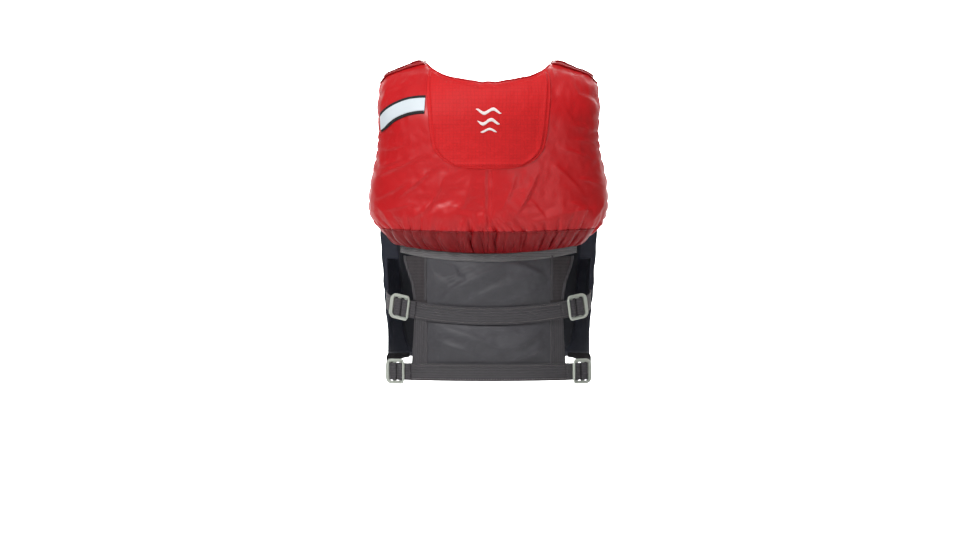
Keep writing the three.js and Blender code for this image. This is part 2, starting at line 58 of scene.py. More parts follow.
WEB, WEB_THICK = 25.0, 1.7
MID_HEIGHT, MID_LIFT, ADJUSTER_REACH = 95.0, 11.0, 127.0
FRONT_BOTTOM, FRONT_TOP, FRONT_NECK, ZIP_GAP = 34.0, 400.0, 330.0, 9.0
ZIP_BOTTOM, ZIP_TOP, ZIP_DEPTH = 44.0, 326.0, 34.0
COLOUR_SPLIT = 247.5
PANEL_HALF, BINDING_SEAM = 95.5, 94.0
LOOP_SEAT, LOOP_HEIGHT = 86.0, 378.0
# how far over the shoulder the panels reach, as a share of the way to its ridge
RIDGE_SHARE = 0.95


def lerp(a, b, k):
    return a + (b - a) * k


def ease(low, high, x):
    k = np.clip((x - low) / (high - low), 0, 1)
    return k * k * (3 - 2 * k)


def through(pairs, x):
    """A smooth curve through (position, value) pairs."""
    px = np.array([p[0] for p in pairs], float)
    py = np.array([p[1] for p in pairs], float)
    slope = np.zeros(len(px))
    slope[1:-1] = (py[2:] - py[:-2]) / (px[2:] - px[:-2])
    x = np.clip(np.asarray(x, float), px[0], px[-1])
    i = np.clip(np.searchsorted(px, x, side="right") - 1, 0, len(px) - 2)
    span = px[i + 1] - px[i]
    u = (x - px[i]) / span
    h1 = 2 * u**3 - 3 * u**2 + 1
    return (h1 * py[i] + (u**3 - 2 * u**2 + u) * span * slope[i]
            + (1 - h1) * py[i + 1] + (u**3 - u**2) * span * slope[i + 1])


def section(v):
    """At height v: the body's half width, and the radius, angle and length of its flatter part."""
    a = lerp(WAIST_HALF, CHEST_HALF, ease(WAIST_HEIGHT, CHEST_HEIGHT, v))
    flat = ((a - FLANK) ** 2 + HALF_DEPTH**2 - FLANK**2) / (2 * (HALF_DEPTH - FLANK))
    turn = np.arcsin((a - FLANK) / (flat - FLANK))
    return a, flat, turn, flat * turn


def quarter(v):
    """The way round the body at height v, from the middle of the back to the side line."""
    _, _, turn, arc = section(v)
    return arc + FLANK * (math.pi / 2 - turn)


def section_point(t, v):
    """Where a distance t round the body lies at height v, seen from above."""
    a, flat, turn, arc = section(v)
    far = np.abs(t)
    side = np.where(t < 0, -1.0, 1.0)
    near_angle = far / flat
    flank_angle = turn + (far - arc) / FLANK
    on_flat = far <= arc
    x = np.where(on_flat, flat * np.sin(near_angle), a - FLANK + FLANK * np.sin(flank_angle))
    y = np.where(on_flat, flat - HALF_DEPTH - flat * np.cos(near_angle), -FLANK * np.cos(flank_angle))
    return side * x, y


def roll(t):
    """Where the roll over the shoulder starts at t, how high it rises and how long it is to the ridge."""
    x, y = section_point(np.asarray(t, float), ROLL_START)
    to_neck = np.maximum(0, (SHOULDER_REACH - np.abs(x)) / SHOULDER_REACH)
    line = SHOULDER_HEIGHT - SHOULDER_SLOPE * (np.abs(x) - SHOULDER_REACH) + NECK_RISE * to_neck**2
    rise = line - ROLL_START
    return x, y, rise, math.pi / 2 * np.sqrt((rise**2 + y**2) / 2)


def body_point(t, v):
    """The point on the body t round it and v up it, going on over the shoulder above ROLL_START."""
    t, v = np.broadcast_arrays(np.asarray(t, float), np.asarray(v, float))
    x, y = section_point(t, np.minimum(v, ROLL_START))
    rx, ry, rise, length = roll(t)
    angle = np.clip(v - ROLL_START, 0, None) / length * math.pi / 2
    rolled = v > ROLL_START
    return np.stack([np.where(rolled, rx, x), np.where(rolled, ry * np.cos(angle), y),
                     np.where(rolled, ROLL_START + rise * np.sin(angle), v)], -1)


def unit(a):
    return a / np.linalg.norm(a, axis=-1, keepdims=True)


def frames(face, t, v):
    """Point, direction round the body, direction up, and direction out, in metres and in the row's frame."""
    t, v = np.broadcast_arrays(np.asarray(t, float), np.asarray(v, float))
    point = body_point(t, v)
    along = unit(body_point(t + 0.4, v) - body_point(t - 0.4, v))
    up = unit(body_point(t, v + 0.4) - body_point(t, v - 0.4))
    out = unit(np.cross(along, up))
    if face > 0:
        point, along, up, out = (a * np.array([1, -1, 1]) for a in (point, along, up, out))
    point = (point - np.array([0, 0, SHOULDER_HEIGHT])) / 1000
    return point, along, up, out


def put(face, t, v, d):
    """Points at depth d over the back (face -1) or the front (face 1)."""
    point, _, _, out = frames(face, t, v)
    return point + out * (np.asarray(d, float)[..., None] if np.ndim(d) else d) / 1000


# ---- outlines and thicknesses of the panels, in millimetres round, up and out from the body ----
def seam_line(t):
    return SEAM_HEIGHT + SEAM_LIFT * (t / SEAM_REACH) ** 2


def gusset_line(t):
    return SEAM_HEIGHT - GUSSET_DROP + GUSSET_LIFT * (t / SEAM_REACH) ** 2


def back_edge(v):
    k = (v - SEAM_HEIGHT) / (ROLL_START - SEAM_HEIGHT)
    margin = through([(0.0, 60), (0.03, 54), (0.08, 41), (0.15, 31), (0.26, 23), (0.42, 25), (0.6, 34),
                      (0.8, 43), (1, 46), (1.2, 39), (1.35, 30), (1.5, 26)], k)
    return quarter(np.minimum(v, ROLL_START)) - margin


def back_top(t):
    share = through([(0, 0.235), (20, 0.28), (38, 0.342), (58, 0.438), (76, 0.6), (88, 0.8), (100, 0.93),
                     (116, RIDGE_SHARE)], np.abs(t))
    return ROLL_START + roll(t)[3] * share


BACK_TOP_EDGE = float(back_edge(ROLL_START * 2))
BACK_BOTTOM_EDGE = float(back_edge(SEAM_HEIGHT))


def soft_edge(distance, depth):
    """The share of its thickness that foam keeps near an edge, where it is rounded off."""
    return 1 - depth * (1 - np.clip(distance / EDGE_ROUND, 0, 1)) ** 2


def back_thick(t, v):
    core = lerp(BACK_FOAM, SHOULDER_FOAM, ease(ROLL_START + 5, ROLL_START + 90, v))
    return FOAM_START + core * (soft_edge(back_edge(v) - np.abs(t), 0.22) * soft_edge(back_top(t) - v, 0.25)
                                * soft_edge(v - seam_line(t), 0.14))


def front_edge(v):
    return quarter(v) - through([(34, 74), (48, 60), (80, 50), (160, 45), (250, 44), (300, 50), (345, 66),
                                 (400, 74)], v)


def front_neck_edge(v):
    return through([(FRONT_NECK, ZIP_GAP), (FRONT_NECK + 25, 20), (FRONT_TOP, 50)], v)


def front_thick(t, v):
    far = np.abs(t)
    core = lerp(FRONT_FOAM, SHOULDER_FOAM + 4, ease(FRONT_NECK - 10, FRONT_TOP, v))
    edge = soft_edge(front_edge(v) - far, 0.3) * soft_edge(far - front_neck_edge(v), 0.2)
    return FOAM_START + core * edge * soft_edge(v - FRONT_BOTTOM, 0.3) * soft_edge(FRONT_TOP - v, 0.2)


# ---- cloth that gathers, creases and puckers ----
def rumple(x, y, seed, octaves=3):
    """Gentle unevenness from -1 to 1 over positions in millimetres."""
    flat_x, flat_y = np.broadcast_arrays(np.asarray(x, float), np.asarray(y, float))
    values = [noise.fractal(Vector((px, py, seed)), 0.6, 2.0, octaves)
              for px, py in zip(flat_x.ravel(), flat_y.ravel())]
    return np.array(values).reshape(flat_x.shape)


def crease(t, v, start, end, width, height, fade=0.35):
    """A ridge of cloth from start to end, both (t, v), steeper on one side and dying away at its ends."""
    start, end = np.array(start, float), np.array(end, float)
    way = end - start
    long = np.linalg.norm(way)
    way /= long
    along = (t - start[0]) * way[0] + (v - start[1]) * way[1]
    off = (t - start[0]) * -way[1] + (v - start[1]) * way[0]
    k = along / long
    shape = np.clip(np.minimum(k / fade, (1 - k) / fade), 0, 1)
    shape = shape * shape * (3 - 2 * shape)
    off = off - 0.04 * long * np.sin(np.clip(k, 0, 1) * math.pi)
    wide = width * np.where(off > 0, 0.55, 1.5)
    return height * shape * np.exp(0.35 - np.sqrt((off / wide) ** 2 + 0.12))


BACK_CREASES = [
    ((-66, 312), (-122, 262), 4, 2.2), ((-74, 334), (-146, 300), 4, 1.8), ((-50, 306), (-84, 236), 4, 1.8),
    ((-20, 304), (-36, 240), 5, 1.5), ((62, 312), (26, 232), 4, 2.6), ((70, 322), (128, 262), 5, 2.0),
    ((34, 306), (10, 240), 4, 1.6), ((80, 340), (146, 318), 4, 1.6), ((100, 352), (150, 346), 3, 1.6),
    ((96, 372), (146, 366), 3, 1.3), ((104, 296), (160, 284), 4, 1.7), ((-100, 346), (-146, 338), 3, 1.6),
    ((-104, 326), (-152, 312), 3, 1.8), ((-110, 318), (-156, 296), 3, 1.3), ((-92, 296), (-162, 262), 5, 1.9),
    ((-84, 262), (-164, 248), 5, 1.4), ((108, 404), (152, 396), 4, 1.2), ((-104, 424), (-150, 410), 4, 1.2),
    ((-92, 430), (-128, 444), 5, 1.4), ((100, 440), (142, 428), 4, 1.2), ((92, 244), (152, 250), 5, 1.6),
    ((-150, 262), (-122, 220), 4, 1.8), ((158, 270), (128, 226), 4, 1.8), ((96, 262), (134, 246), 4, 1.4),
    ((-64, 262), (-104, 232), 4, 1.5), ((46, 268), (74, 226), 4, 1.5), ((84, 396), (118, 360), 5, 1.2),
]


def gathers(t):
    """Uneven gathers of cloth on a seam: rounded puffs with narrow valleys between them, from 0 to 1."""
    phase = t / 6.6 + 1.1 * np.sin(t / 15.0 + 0.6) + 0.8 * np.sin(t / 34.0 + 2.1)
    small = np.abs(np.sin(t / 4.1 + 1.6 * np.sin(t / 23.0)))
    return 0.72 * np.abs(np.sin(phase)) ** 0.6 + 0.28 * small**0.7


def arm_gathers(v):
    """Gathers along an arm opening, from 0 to 1."""
    phase = v / 5.4 + 1.2 * np.sin(v / 19.0 + 0.4) + 0.7 * np.sin(v / 41.0)
    return np.abs(np.sin(phase)) ** 0.7


def back_folds(t, v):
    """Puckers above the hem and along the arms, creases, the centre seam and a broad swell."""
    above = np.clip(v - seam_line(t), 0, None)
    reach = 9 + 9 * (0.5 + 0.5 * np.sin(t / 17.0 + 1.0))
    lean = t + above * (0.5 * np.sin(t / 29.0 + 0.7) + 0.25)
    pucker = (gathers(lean) - 0.62) * np.exp(-((above / reach) ** 1.3))
    height = 8.5 * pucker + 1.1 * rumple(t / 32, v / 42, 3.0) + 0.12 * rumple(t / 11, v / 14, 6.0)
    for start, end, width, lift in BACK_CREASES:
        height = height + crease(t, v, start, end, width, lift)
    centre = np.exp(-((t / 2.6) ** 2)) * ease(YOKE_BOTTOM + 2, YOKE_BOTTOM - 8, v)
    inside = np.clip(back_edge(v) - np.abs(t), 0, None)
    side_gather = (arm_gathers(v + 0.3 * inside) - 0.62) * np.exp(-((inside / 8.5) ** 1.2))
    swell = 1.4 * ease(0, 40, inside) * ease(0, 30, above)
    return height - 2.2 * centre + 2.0 * side_gather + swell


def front_folds(t, v):
    """Ripples along both edges, slow unevenness, and the dip where the shoulder adjuster is sewn on."""
    far = np.abs(t)
    gather = np.sin(v / 4.6 + 1.5 * np.sin(v / 19.0)) * np.exp(-np.clip(front_edge(v) - far, 0, None) / 7)
    inner = np.sin(v / 4.0 + 2.0 * np.sin(v / 23.0)) * np.exp(-np.clip(far - front_neck_edge(v), 0, None) / 6)
    sewn_in = 8.5 * np.exp(-(((far - LOOP_SEAT) / 21) ** 4) - (((v - 377) / 15) ** 4))
    return 0.5 * gather + 0.4 * inner + 0.9 * rumple(t / 30, v / 40, 9.0) - sewn_in


# ---- how far the filled panels swell and buckle, worked out once as cloth held at its seams ----
SWELL = {}
SWELL_FRAMES = 18


def swell_at(panel, across, along):
    """The swelling of a panel at shares of its width and height, from the grid kept for it."""
    if panel not in SWELL:
        return 0.0
    grid = SWELL[panel]
    rows, columns = grid.shape
    x = np.clip(across, 0, 1) * (columns - 1)
    y = np.clip(along, 0, 1) * (rows - 1)
    i, j = np.minimum(x.astype(int), columns - 2), np.minimum(y.astype(int), rows - 2)
    fx, fy = x - i, y - j
    return ((grid[j, i] * (1 - fx) + grid[j, i + 1] * fx) * (1 - fy)
            + (grid[j + 1, i] * (1 - fx) + grid[j + 1, i + 1] * fx) * fy)


def back_share(t, v):
    """Where (t, v) lies in the back panel, as shares of its width and height."""
    s = t / back_edge(v)
    low, top = seam_line(s * BACK_BOTTOM_EDGE), back_top(s * BACK_TOP_EDGE)
    k = np.clip((v - low) / (top - low), 0, 1)
    return (s + 1) / 2, (np.sqrt(0.3025 + 1.8 * k) - 0.55) / 0.9


def front_share(t, v):
    """Where (t, v) lies in a front panel, as shares of its width and height."""
    inner, outer = front_neck_edge(v), front_edge(v)
    return (np.abs(t) - inner) / (outer - inner), (v - FRONT_BOTTOM) / (FRONT_TOP - FRONT_BOTTOM)


def back_depth(t, v, above=0.0):
    t, v = np.broadcast_arrays(np.asarray(t, float), np.asarray(v, float))
    return back_thick(t, v) + SHELL + back_folds(t, v) + swell_at("back", *back_share(t, v)) + above


def front_depth(t, v, above=0.0):
    t, v = np.broadcast_arrays(np.asarray(t, float), np.asarray(v, float))
    return front_thick(t, v) + SHELL + front_folds(t, v) + swell_at("front", *front_share(t, v)) + above


def swell(panel, face, t, v, depth, growth, cap):
    """Cloth cut a little too large, held at its edges and pressed out by the foam; its height is kept."""
    point, _, _, out = frames(face, t.ravel(), v.ravel())
    rows, columns = t.shape
    start = point + out * depth.ravel()[:, None] / 1000
    faces = [(j * columns + i, j * columns + i + 1, (j + 1) * columns + i + 1, (j + 1) * columns + i)
             for j in range(rows - 1) for i in range(columns - 1)]
    obj = new_mesh(f"{panel}_cloth_form", start, faces)
    middle = (rows // 2) * columns + columns // 2
    if np.dot(np.array(obj.data.polygons[len(faces) // 2].normal), out[middle]) < 0:
        obj.data.flip_normals()
    held = obj.vertex_groups.new(name="held")
    held.add([j * columns + i for j in range(rows) for i in range(columns)
              if j in (0, rows - 1) or i in (0, columns - 1)], 1.0, "REPLACE")
    cloth = obj.modifiers.new("cloth", "CLOTH")
    cloth.settings.quality = 6
    cloth.settings.mass = 0.12
    cloth.settings.tension_stiffness = cloth.settings.compression_stiffness = 22
    cloth.settings.shear_stiffness = 8
    cloth.settings.bending_stiffness = 0.12
    cloth.settings.air_damping = 2.0
    cloth.settings.vertex_group_mass = "held"
    cloth.settings.shrink_min = -growth
    cloth.settings.use_pressure = True
    cloth.settings.uniform_pressure_force = 0.35
    cloth.settings.effector_weights.gravity = 0
    cloth.collision_settings.use_collision = False
    scene = bpy.context.scene
    cloth.point_cache.frame_start, cloth.point_cache.frame_end = 1, SWELL_FRAMES
    for number in range(1, SWELL_FRAMES + 1):
        scene.frame_set(number)
    graph = bpy.context.evaluated_depsgraph_get()
    moved = obj.evaluated_get(graph).data
    end = np.empty(len(moved.vertices) * 3)
    moved.vertices.foreach_get("co", end)
    lift = np.einsum("ij,ij->i", end.reshape(-1, 3) - start, out) * 1000
    scene.frame_set(1)
    bpy.data.objects.remove(obj)
    grid = np.pad(cap * np.tanh(lift / cap).reshape(rows, columns), 1, mode="edge")
    straight = grid[:-2, 1:-1] + grid[2:, 1:-1] + grid[1:-1, :-2] + grid[1:-1, 2:]
    corners = grid[:-2, :-2] + grid[:-2, 2:] + grid[2:, :-2] + grid[2:, 2:]
    SWELL[panel] = (4 * grid[1:-1, 1:-1] + 2 * straight + corners) / 16


def swell_panels():
    u, w = cells(110, 80)
    t, v = back_place(2 * u - 1, w)
    swell("back", -1, t, v, back_depth(t, v), growth=0.011, cap=3.5)
    u, w = cells(40, 90)
    v = lerp(FRONT_BOTTOM, FRONT_TOP, w)
    t = lerp(front_neck_edge(v), front_edge(v), u)
    swell("front", 1, t, v, front_depth(t, v), growth=0.014, cap=3.0)


# ---- meshes from grids ----
def linked(name, data):
    """A new object that shows data in the scene."""
    obj = bpy.data.objects.new(name, data)
    bpy.context.scene.collection.objects.link(obj)
    return obj


def new_mesh(name, points, faces, uvs=None, slots=None, smooth=True):
    mesh = bpy.data.meshes.new(name)
    mesh.from_pydata([tuple(p) for p in points], [], faces)
    if uvs is not None:
        layer = mesh.uv_layers.new(name="cloth")
        loops = np.empty(len(mesh.loops), dtype=np.int64)
        mesh.loops.foreach_get("vertex_index", loops)
        layer.data.foreach_set("uv", np.asarray(uvs, float)[loops].ravel())
    if slots is not None:
        mesh.polygons.foreach_set("material_index", slots)
    mesh.polygons.foreach_set("use_smooth", [smooth] * len(mesh.polygons))
    mesh.update()
    return linked(name, mesh)


def outward(obj):
    """The mesh with coincident points merged and every face turned outward."""
    edit = bmesh.new()
    edit.from_mesh(obj.data)
    bmesh.ops.remove_doubles(edit, verts=edit.verts, dist=1e-6)
    bmesh.ops.recalc_face_normals(edit, faces=edit.faces)
    edit.to_mesh(obj.data)
    edit.free()
    return obj


def closed_slab(name, near, far, uv, rim_steps=1, rim_bulge=0.0, rim_slots=None, near_slot=0, rim_shape=None):
    """A closed solid between two grids of points (rows by columns), with a rounded rim round it."""
    rows, columns = near.shape[:2]
    points = [near.reshape(-1, 3), far.reshape(-1, 3)]
    uvs = [uv.reshape(-1, 2), uv.reshape(-1, 2)]
    layer = rows * columns
    faces, slots = [], []
    for j in range(rows - 1):
        for i in range(columns - 1):
            p = j * columns + i
            faces.append((p, p + columns, p + columns + 1, p + 1))
            slots.append(near_slot)
            faces.append((layer + p, layer + p + 1, layer + p + columns + 1, layer + p + columns))
            slots.append(0)
    loop = [(0, i, 0) for i in range(columns - 1)] + [(j, columns - 1, 1) for j in range(rows - 1)]
    loop += [(rows - 1, i, 2) for i in range(columns - 1, 0, -1)]
    loop += [(j, 0, 3) for j in range(rows - 1, 0, -1)]
    index = np.array([j * columns + i for j, i, _ in loop])
    sides = [side for _, _, side in loop]
    inner_edge, outer_edge = near.reshape(-1, 3)[index], far.reshape(-1, 3)[index]
    tangent = np.roll(outer_edge, -1, 0) - np.roll(outer_edge, 1, 0)
    across = outer_edge - inner_edge
    normal = np.cross(tangent, across)
    normal /= np.maximum(np.linalg.norm(normal, axis=1, keepdims=True), 1e-12)
    middle = near.reshape(-1, 3).mean(0)
    if np.sum((inner_edge - middle) * normal) < 0:
        normal = -normal
    rings = [index]
    base = 2 * layer
    edge_uv = uv.reshape(-1, 2)[index]
    depth = np.linalg.norm(across, axis=1, keepdims=True)
    for k in range(1, rim_steps):
        share = k / rim_steps
        bulge = rim_bulge / 1000 * math.sin(math.pi * share) ** 0.7
        ring = lerp(inner_edge, outer_edge, share) + normal * bulge
        if rim_shape is not None:
            ring = ring + normal * rim_shape(sides, edge_uv, share)[:, None] / 1000
        points.append(ring)
        uvs.append(edge_uv + np.hstack([depth * 0, -depth * (1 - share)]))
        rings.append(np.arange(base, base + len(loop)))
        base += len(loop)
    rings.append(index + layer)
    for a, b in zip(rings[:-1], rings[1:]):
        for k in range(len(loop)):
            n = (k + 1) % len(loop)
            faces.append((int(a[k]), int(a[n]), int(b[n]), int(b[k])))
            slots.append(rim_slots[sides[k]] if rim_slots else 0)
    return outward(new_mesh(name, np.vstack(points), faces, np.vstack(uvs), slots))


def cells(columns, rows):
    return np.meshgrid(np.linspace(0, 1, columns + 1), np.linspace(0, 1, rows + 1))


def layered(name, face, t, v, low, high, weave=None, **more):
    """A closed piece over positions (t, v), from depth low to depth high, woven along them or along weave."""
    uv = np.stack(weave or [t, v], -1) / 1000
    return closed_slab(name, put(face, t, v, low), put(face, t, v, high), uv, **more)


def finish_piece(obj, body, materials, replaces=()):
    """A piece that moves with one body, in its materials."""
    for material in materials if isinstance(materials, (list, tuple)) else [materials]:
        obj.data.materials.append(material)
    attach(obj, body)
    if replaces:
        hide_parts(*replaces)
    return obj


def bending_piece(obj, slot, material, bodies, start, end):
    """A piece in its material, with its place baked into its points. The bodies, start and end are not used.
    """
    obj.data.materials.append(material)
    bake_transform(obj)


def apply_modifiers(obj):
    graph = bpy.context.evaluated_depsgraph_get()
    mesh = bpy.data.meshes.new_from_object(obj.evaluated_get(graph))
    obj.modifiers.clear()
    obj.data = mesh
    return obj


# ---- materials ----
def colour(r, g, b):
    """A colour given from 0 to 255 as it is seen on a screen."""
    def straight(c):
        c /= 255
        return c / 12.92 if c <= 0.04045 else ((c + 0.055) / 1.055) ** 2.4
    return (straight(r), straight(g), straight(b), 1.0)


class Nodes:
    """A node tree and the steps that its materials are made of."""

    def __init__(self, tree):
        self.tree = tree

    def add(self, kind, **values):
        node = self.tree.nodes.new(kind)
        for key, value in values.items():
            setattr(node, key, value)
        return node

    def link(self, source, target):
        self.tree.links.new(source, target)

    def math(self, operation, a, b=None, clamp=False):
        node = self.add("ShaderNodeMath", operation=operation, use_clamp=clamp)
        for socket, value in zip(node.inputs, (a, b)):
            if value is None:
                continue
            if isinstance(value, (int, float)):
                socket.default_value = value
            else:
                self.link(value, socket)
        return node.outputs[0]

    def mix(self, factor, a, b):
        node = self.add("ShaderNodeMix", data_type="RGBA")
        for socket, value in zip((node.inputs[0], node.inputs[6], node.inputs[7]), (factor, a, b)):
            if isinstance(value, (int, float, tuple)):
                socket.default_value = value
            else:
                self.link(value, socket)
        return node.outputs[2]

    def axes(self, position):
        part = self.add("ShaderNodeSeparateXYZ")
        self.link(position, part.inputs[0])
        return part.outputs

    def placed(self, tree, where):
        node = self.add("ShaderNodeGroup", node_tree=tree)
        self.link(where, node.inputs["Position"])
        return node

    def bump(self, shader, height, strength, distance):
        node = self.add("ShaderNodeBump")
        node.inputs["Strength"].default_value = strength
        node.inputs["Distance"].default_value = distance
        self.link(height, node.inputs["Height"])
        self.link(node.outputs[0], shader.inputs["Normal"])


VECTOR, FLOAT = "NodeSocketVector", "NodeSocketFloat"


def group(name, inputs, outputs):
    """A shader node group with named sockets, and what is needed to fill it."""
    tree = bpy.data.node_groups.new(name, "ShaderNodeTree")
    for label, kind, value in inputs:
        socket = tree.interface.new_socket(name=label, in_out="INPUT", socket_type=kind)
        if value is not None:
            socket.default_value = value
    for label, kind in outputs:
        tree.interface.new_socket(name=label, in_out="OUTPUT", socket_type=kind)
    nodes = Nodes(tree)
    return tree, nodes, nodes.add("NodeGroupInput").outputs, nodes.add("NodeGroupOutput").inputs


def plain_weave_group():
    """Crossing threads: a height for the bump and a mask of thread tops."""
    tree, n, i, o = group("plain weave", [("Position", VECTOR, None), ("Pitch", FLOAT, 0.0006)],
                          [("Height", FLOAT), ("Tops", FLOAT)])
    axes = n.axes(i["Position"])
    rate = n.math("DIVIDE", math.pi, i["Pitch"])
    warp = n.math("ABSOLUTE", n.math("SINE", n.math("MULTIPLY", axes[0], rate)))
    weft = n.math("ABSOLUTE", n.math("SINE", n.math("MULTIPLY", axes[1], rate)))
    height = n.math("MAXIMUM", warp, weft)
    n.link(height, o["Height"])
    n.link(n.math("MULTIPLY", warp, weft), o["Tops"])
    return tree


def grid_thread_group():
    """The heavier threads of a ripstop cloth, a fine square grid."""
    tree, n, i, o = group("ripstop grid", [("Position", VECTOR, None), ("Cell", FLOAT, 0.0046),
                                           ("Line", FLOAT, 0.16)], [("Lines", FLOAT)])
    axes = n.axes(i["Position"])
    lines = []
    for axis in (0, 1):
        cell = n.math("FRACT", n.math("DIVIDE", axes[axis], i["Cell"]))
        off = n.math("ABSOLUTE", n.math("SUBTRACT", cell, 0.5))
        lines.append(n.math("SUBTRACT", 1.0, n.math("DIVIDE", off, i["Line"]), clamp=True))
    n.link(n.math("MAXIMUM", lines[0], lines[1]), o["Lines"])
    return tree


def web_rib_group():
    """Ribs of woven webbing: cords along it and finer threads across it."""
    tree, n, i, o = group("webbing ribs", [("Position", VECTOR, None), ("Rib", FLOAT, 0.0016)],
                          [("Height", FLOAT), ("Shade", FLOAT)])
    axes = n.axes(i["Position"])
    rate = n.math("DIVIDE", 2 * math.pi, i["Rib"])
    ribs = n.math("SINE", n.math("MULTIPLY", axes[0], rate))
    cords = n.math("SINE", n.math("MULTIPLY", axes[1], n.math("MULTIPLY", rate, 0.47)))
    n.link(n.math("ADD", n.math("MULTIPLY", ribs, 0.3), n.math("MULTIPLY", cords, 0.7)), o["Height"])
    mixed = n.math("ADD", n.math("MULTIPLY", ribs, 0.18), n.math("MULTIPLY", cords, -0.34))
    n.link(n.math("ADD", mixed, 0.5), o["Shade"])
    return tree


def cloud_group():
    """Slow changes of tone and fine lint, as used cloth has."""
    tree, n, i, o = group("cloth variation", [("Position", VECTOR, None), ("Patch", FLOAT, 9.0),
                                              ("Lint", FLOAT, 900.0)],
                          [("Patches", FLOAT), ("Specks", FLOAT)])
    slow = n.add("ShaderNodeTexNoise")
    slow.inputs["Detail"].default_value = 3
    n.link(i["Position"], slow.inputs["Vector"])
    n.link(i["Patch"], slow.inputs["Scale"])
    fine = n.add("ShaderNodeTexNoise")
    fine.inputs["Detail"].default_value = 2
    n.link(i["Position"], fine.inputs["Vector"])
    n.link(i["Lint"], fine.inputs["Scale"])
    n.link(slow.outputs[0], o["Patches"])
    n.link(fine.outputs[0], o["Specks"])
    return tree


WEAVE, RIPSTOP, RIBS, CLOUD = plain_weave_group(), grid_thread_group(), web_rib_group(), cloud_group()


def plain_shader(name):
    material = bpy.data.materials.new(name)
    material.use_nodes = True
    n = Nodes(material.node_tree)
    material.node_tree.nodes.clear()
    out = n.add("ShaderNodeOutputMaterial")
    shader = n.add("ShaderNodeBsdfPrincipled")
    n.link(shader.outputs[0], out.inputs[0])
    return material, n, shader


def cloth_material(name, base, dark, roughness, sheen=0.3, weave=0.0005, weave_depth=0.12, grid=0.0, ribs=0.0,
                   patch=0.5, sheen_tint=None, mesh_holes=0.0, specular=0.25):
    """Cloth from base to dark in tone; weave, grid, ribs and mesh_holes are pitches of what is woven in."""
    material, n, shader = plain_shader(name)
    shader.inputs["Sheen Weight"].default_value = sheen
    shader.inputs["Sheen Roughness"].default_value = 0.45
    shader.inputs["Sheen Tint"].default_value = sheen_tint or base
    shader.inputs["Specular IOR Level"].default_value = specular
    where = n.add("ShaderNodeUVMap", uv_map="cloth").outputs[0]
    cloud = n.placed(CLOUD, where)
    tone = n.math("MULTIPLY", cloud.outputs["Patches"], patch, clamp=True)
    paint = n.mix(tone, base, dark)
    height = None
    if weave:
        threads = n.placed(WEAVE, where)
        threads.inputs["Pitch"].default_value = weave
        paint = n.mix(n.math("MULTIPLY", n.math("SUBTRACT", 1.0, threads.outputs["Tops"]), 0.16), paint, dark)
        height = n.math("MULTIPLY", threads.outputs["Height"], weave_depth)
    if grid:
        lines = n.placed(RIPSTOP, where)
        lines.inputs["Cell"].default_value = grid
        paint = n.mix(n.math("MULTIPLY", lines.outputs["Lines"], 0.34), paint, dark)
        height = n.math("ADD", height or 0.0, n.math("MULTIPLY", lines.outputs["Lines"], 0.5))
    if ribs:
        web = n.placed(RIBS, where)
        web.inputs["Rib"].default_value = ribs
        paint = n.mix(n.math("MULTIPLY", web.outputs["Shade"], 0.45), paint, dark)
        height = n.math("ADD", height or 0.0, web.outputs["Height"])
    if mesh_holes:
        dots = n.add("ShaderNodeTexVoronoi", distance="CHEBYCHEV")
        dots.inputs["Scale"].default_value = 1 / mesh_holes
        dots.inputs["Randomness"].default_value = 0.0
        n.link(where, dots.inputs["Vector"])
        hole = n.math("LESS_THAN", dots.outputs["Distance"], 0.27)
        # The holes are painted near-black: painted shade seen through them.
        paint = n.mix(n.math("MULTIPLY", hole, 0.85), paint, (0.004, 0.004, 0.005, 1))
        height = n.math("SUBTRACT", height or 0.0, n.math("MULTIPLY", hole, 1.2))
    n.link(paint, shader.inputs["Base Color"])
    rough = n.math("ADD", roughness - 0.06, n.math("MULTIPLY", cloud.outputs["Specks"], 0.12))
    n.link(rough, shader.inputs["Roughness"])
    lint = n.math("MULTIPLY", cloud.outputs["Specks"], 0.3)
    n.bump(shader, n.math("ADD", height or 0.0, lint), 0.5, 0.0004)
    return material


def moulded_material(name, base, dark, roughness, metallic=0.0):
    """Moulded plastic or cast metal with a fine grain, paler on its sharp edges."""
    material, n, shader = plain_shader(name)
    shader.inputs["Metallic"].default_value = metallic
    where = n.add("ShaderNodeTexCoord").outputs["Object"]
    cloud = n.placed(CLOUD, where)
    cloud.inputs["Patch"].default_value = 60
    cloud.inputs["Lint"].default_value = 2600
    edge = n.add("ShaderNodeNewGeometry").outputs["Pointiness"]
    edge_pale = n.math("MULTIPLY", n.math("SUBTRACT", edge, 0.52), 6.0, clamp=True)
    paint = n.mix(n.math("MULTIPLY", cloud.outputs["Patches"], 0.4), base, dark)
    pale = tuple(min(1.0, c * 1.3 + 0.02) for c in base[:3]) + (1.0,)
    n.link(n.mix(edge_pale, paint, pale), shader.inputs["Base Color"])
    rough = n.math("ADD", roughness - 0.05, n.math("MULTIPLY", cloud.outputs["Patches"], 0.12))
    n.link(rough, shader.inputs["Roughness"])
    n.bump(shader, cloud.outputs["Specks"], 0.25, 0.0002)
    return material


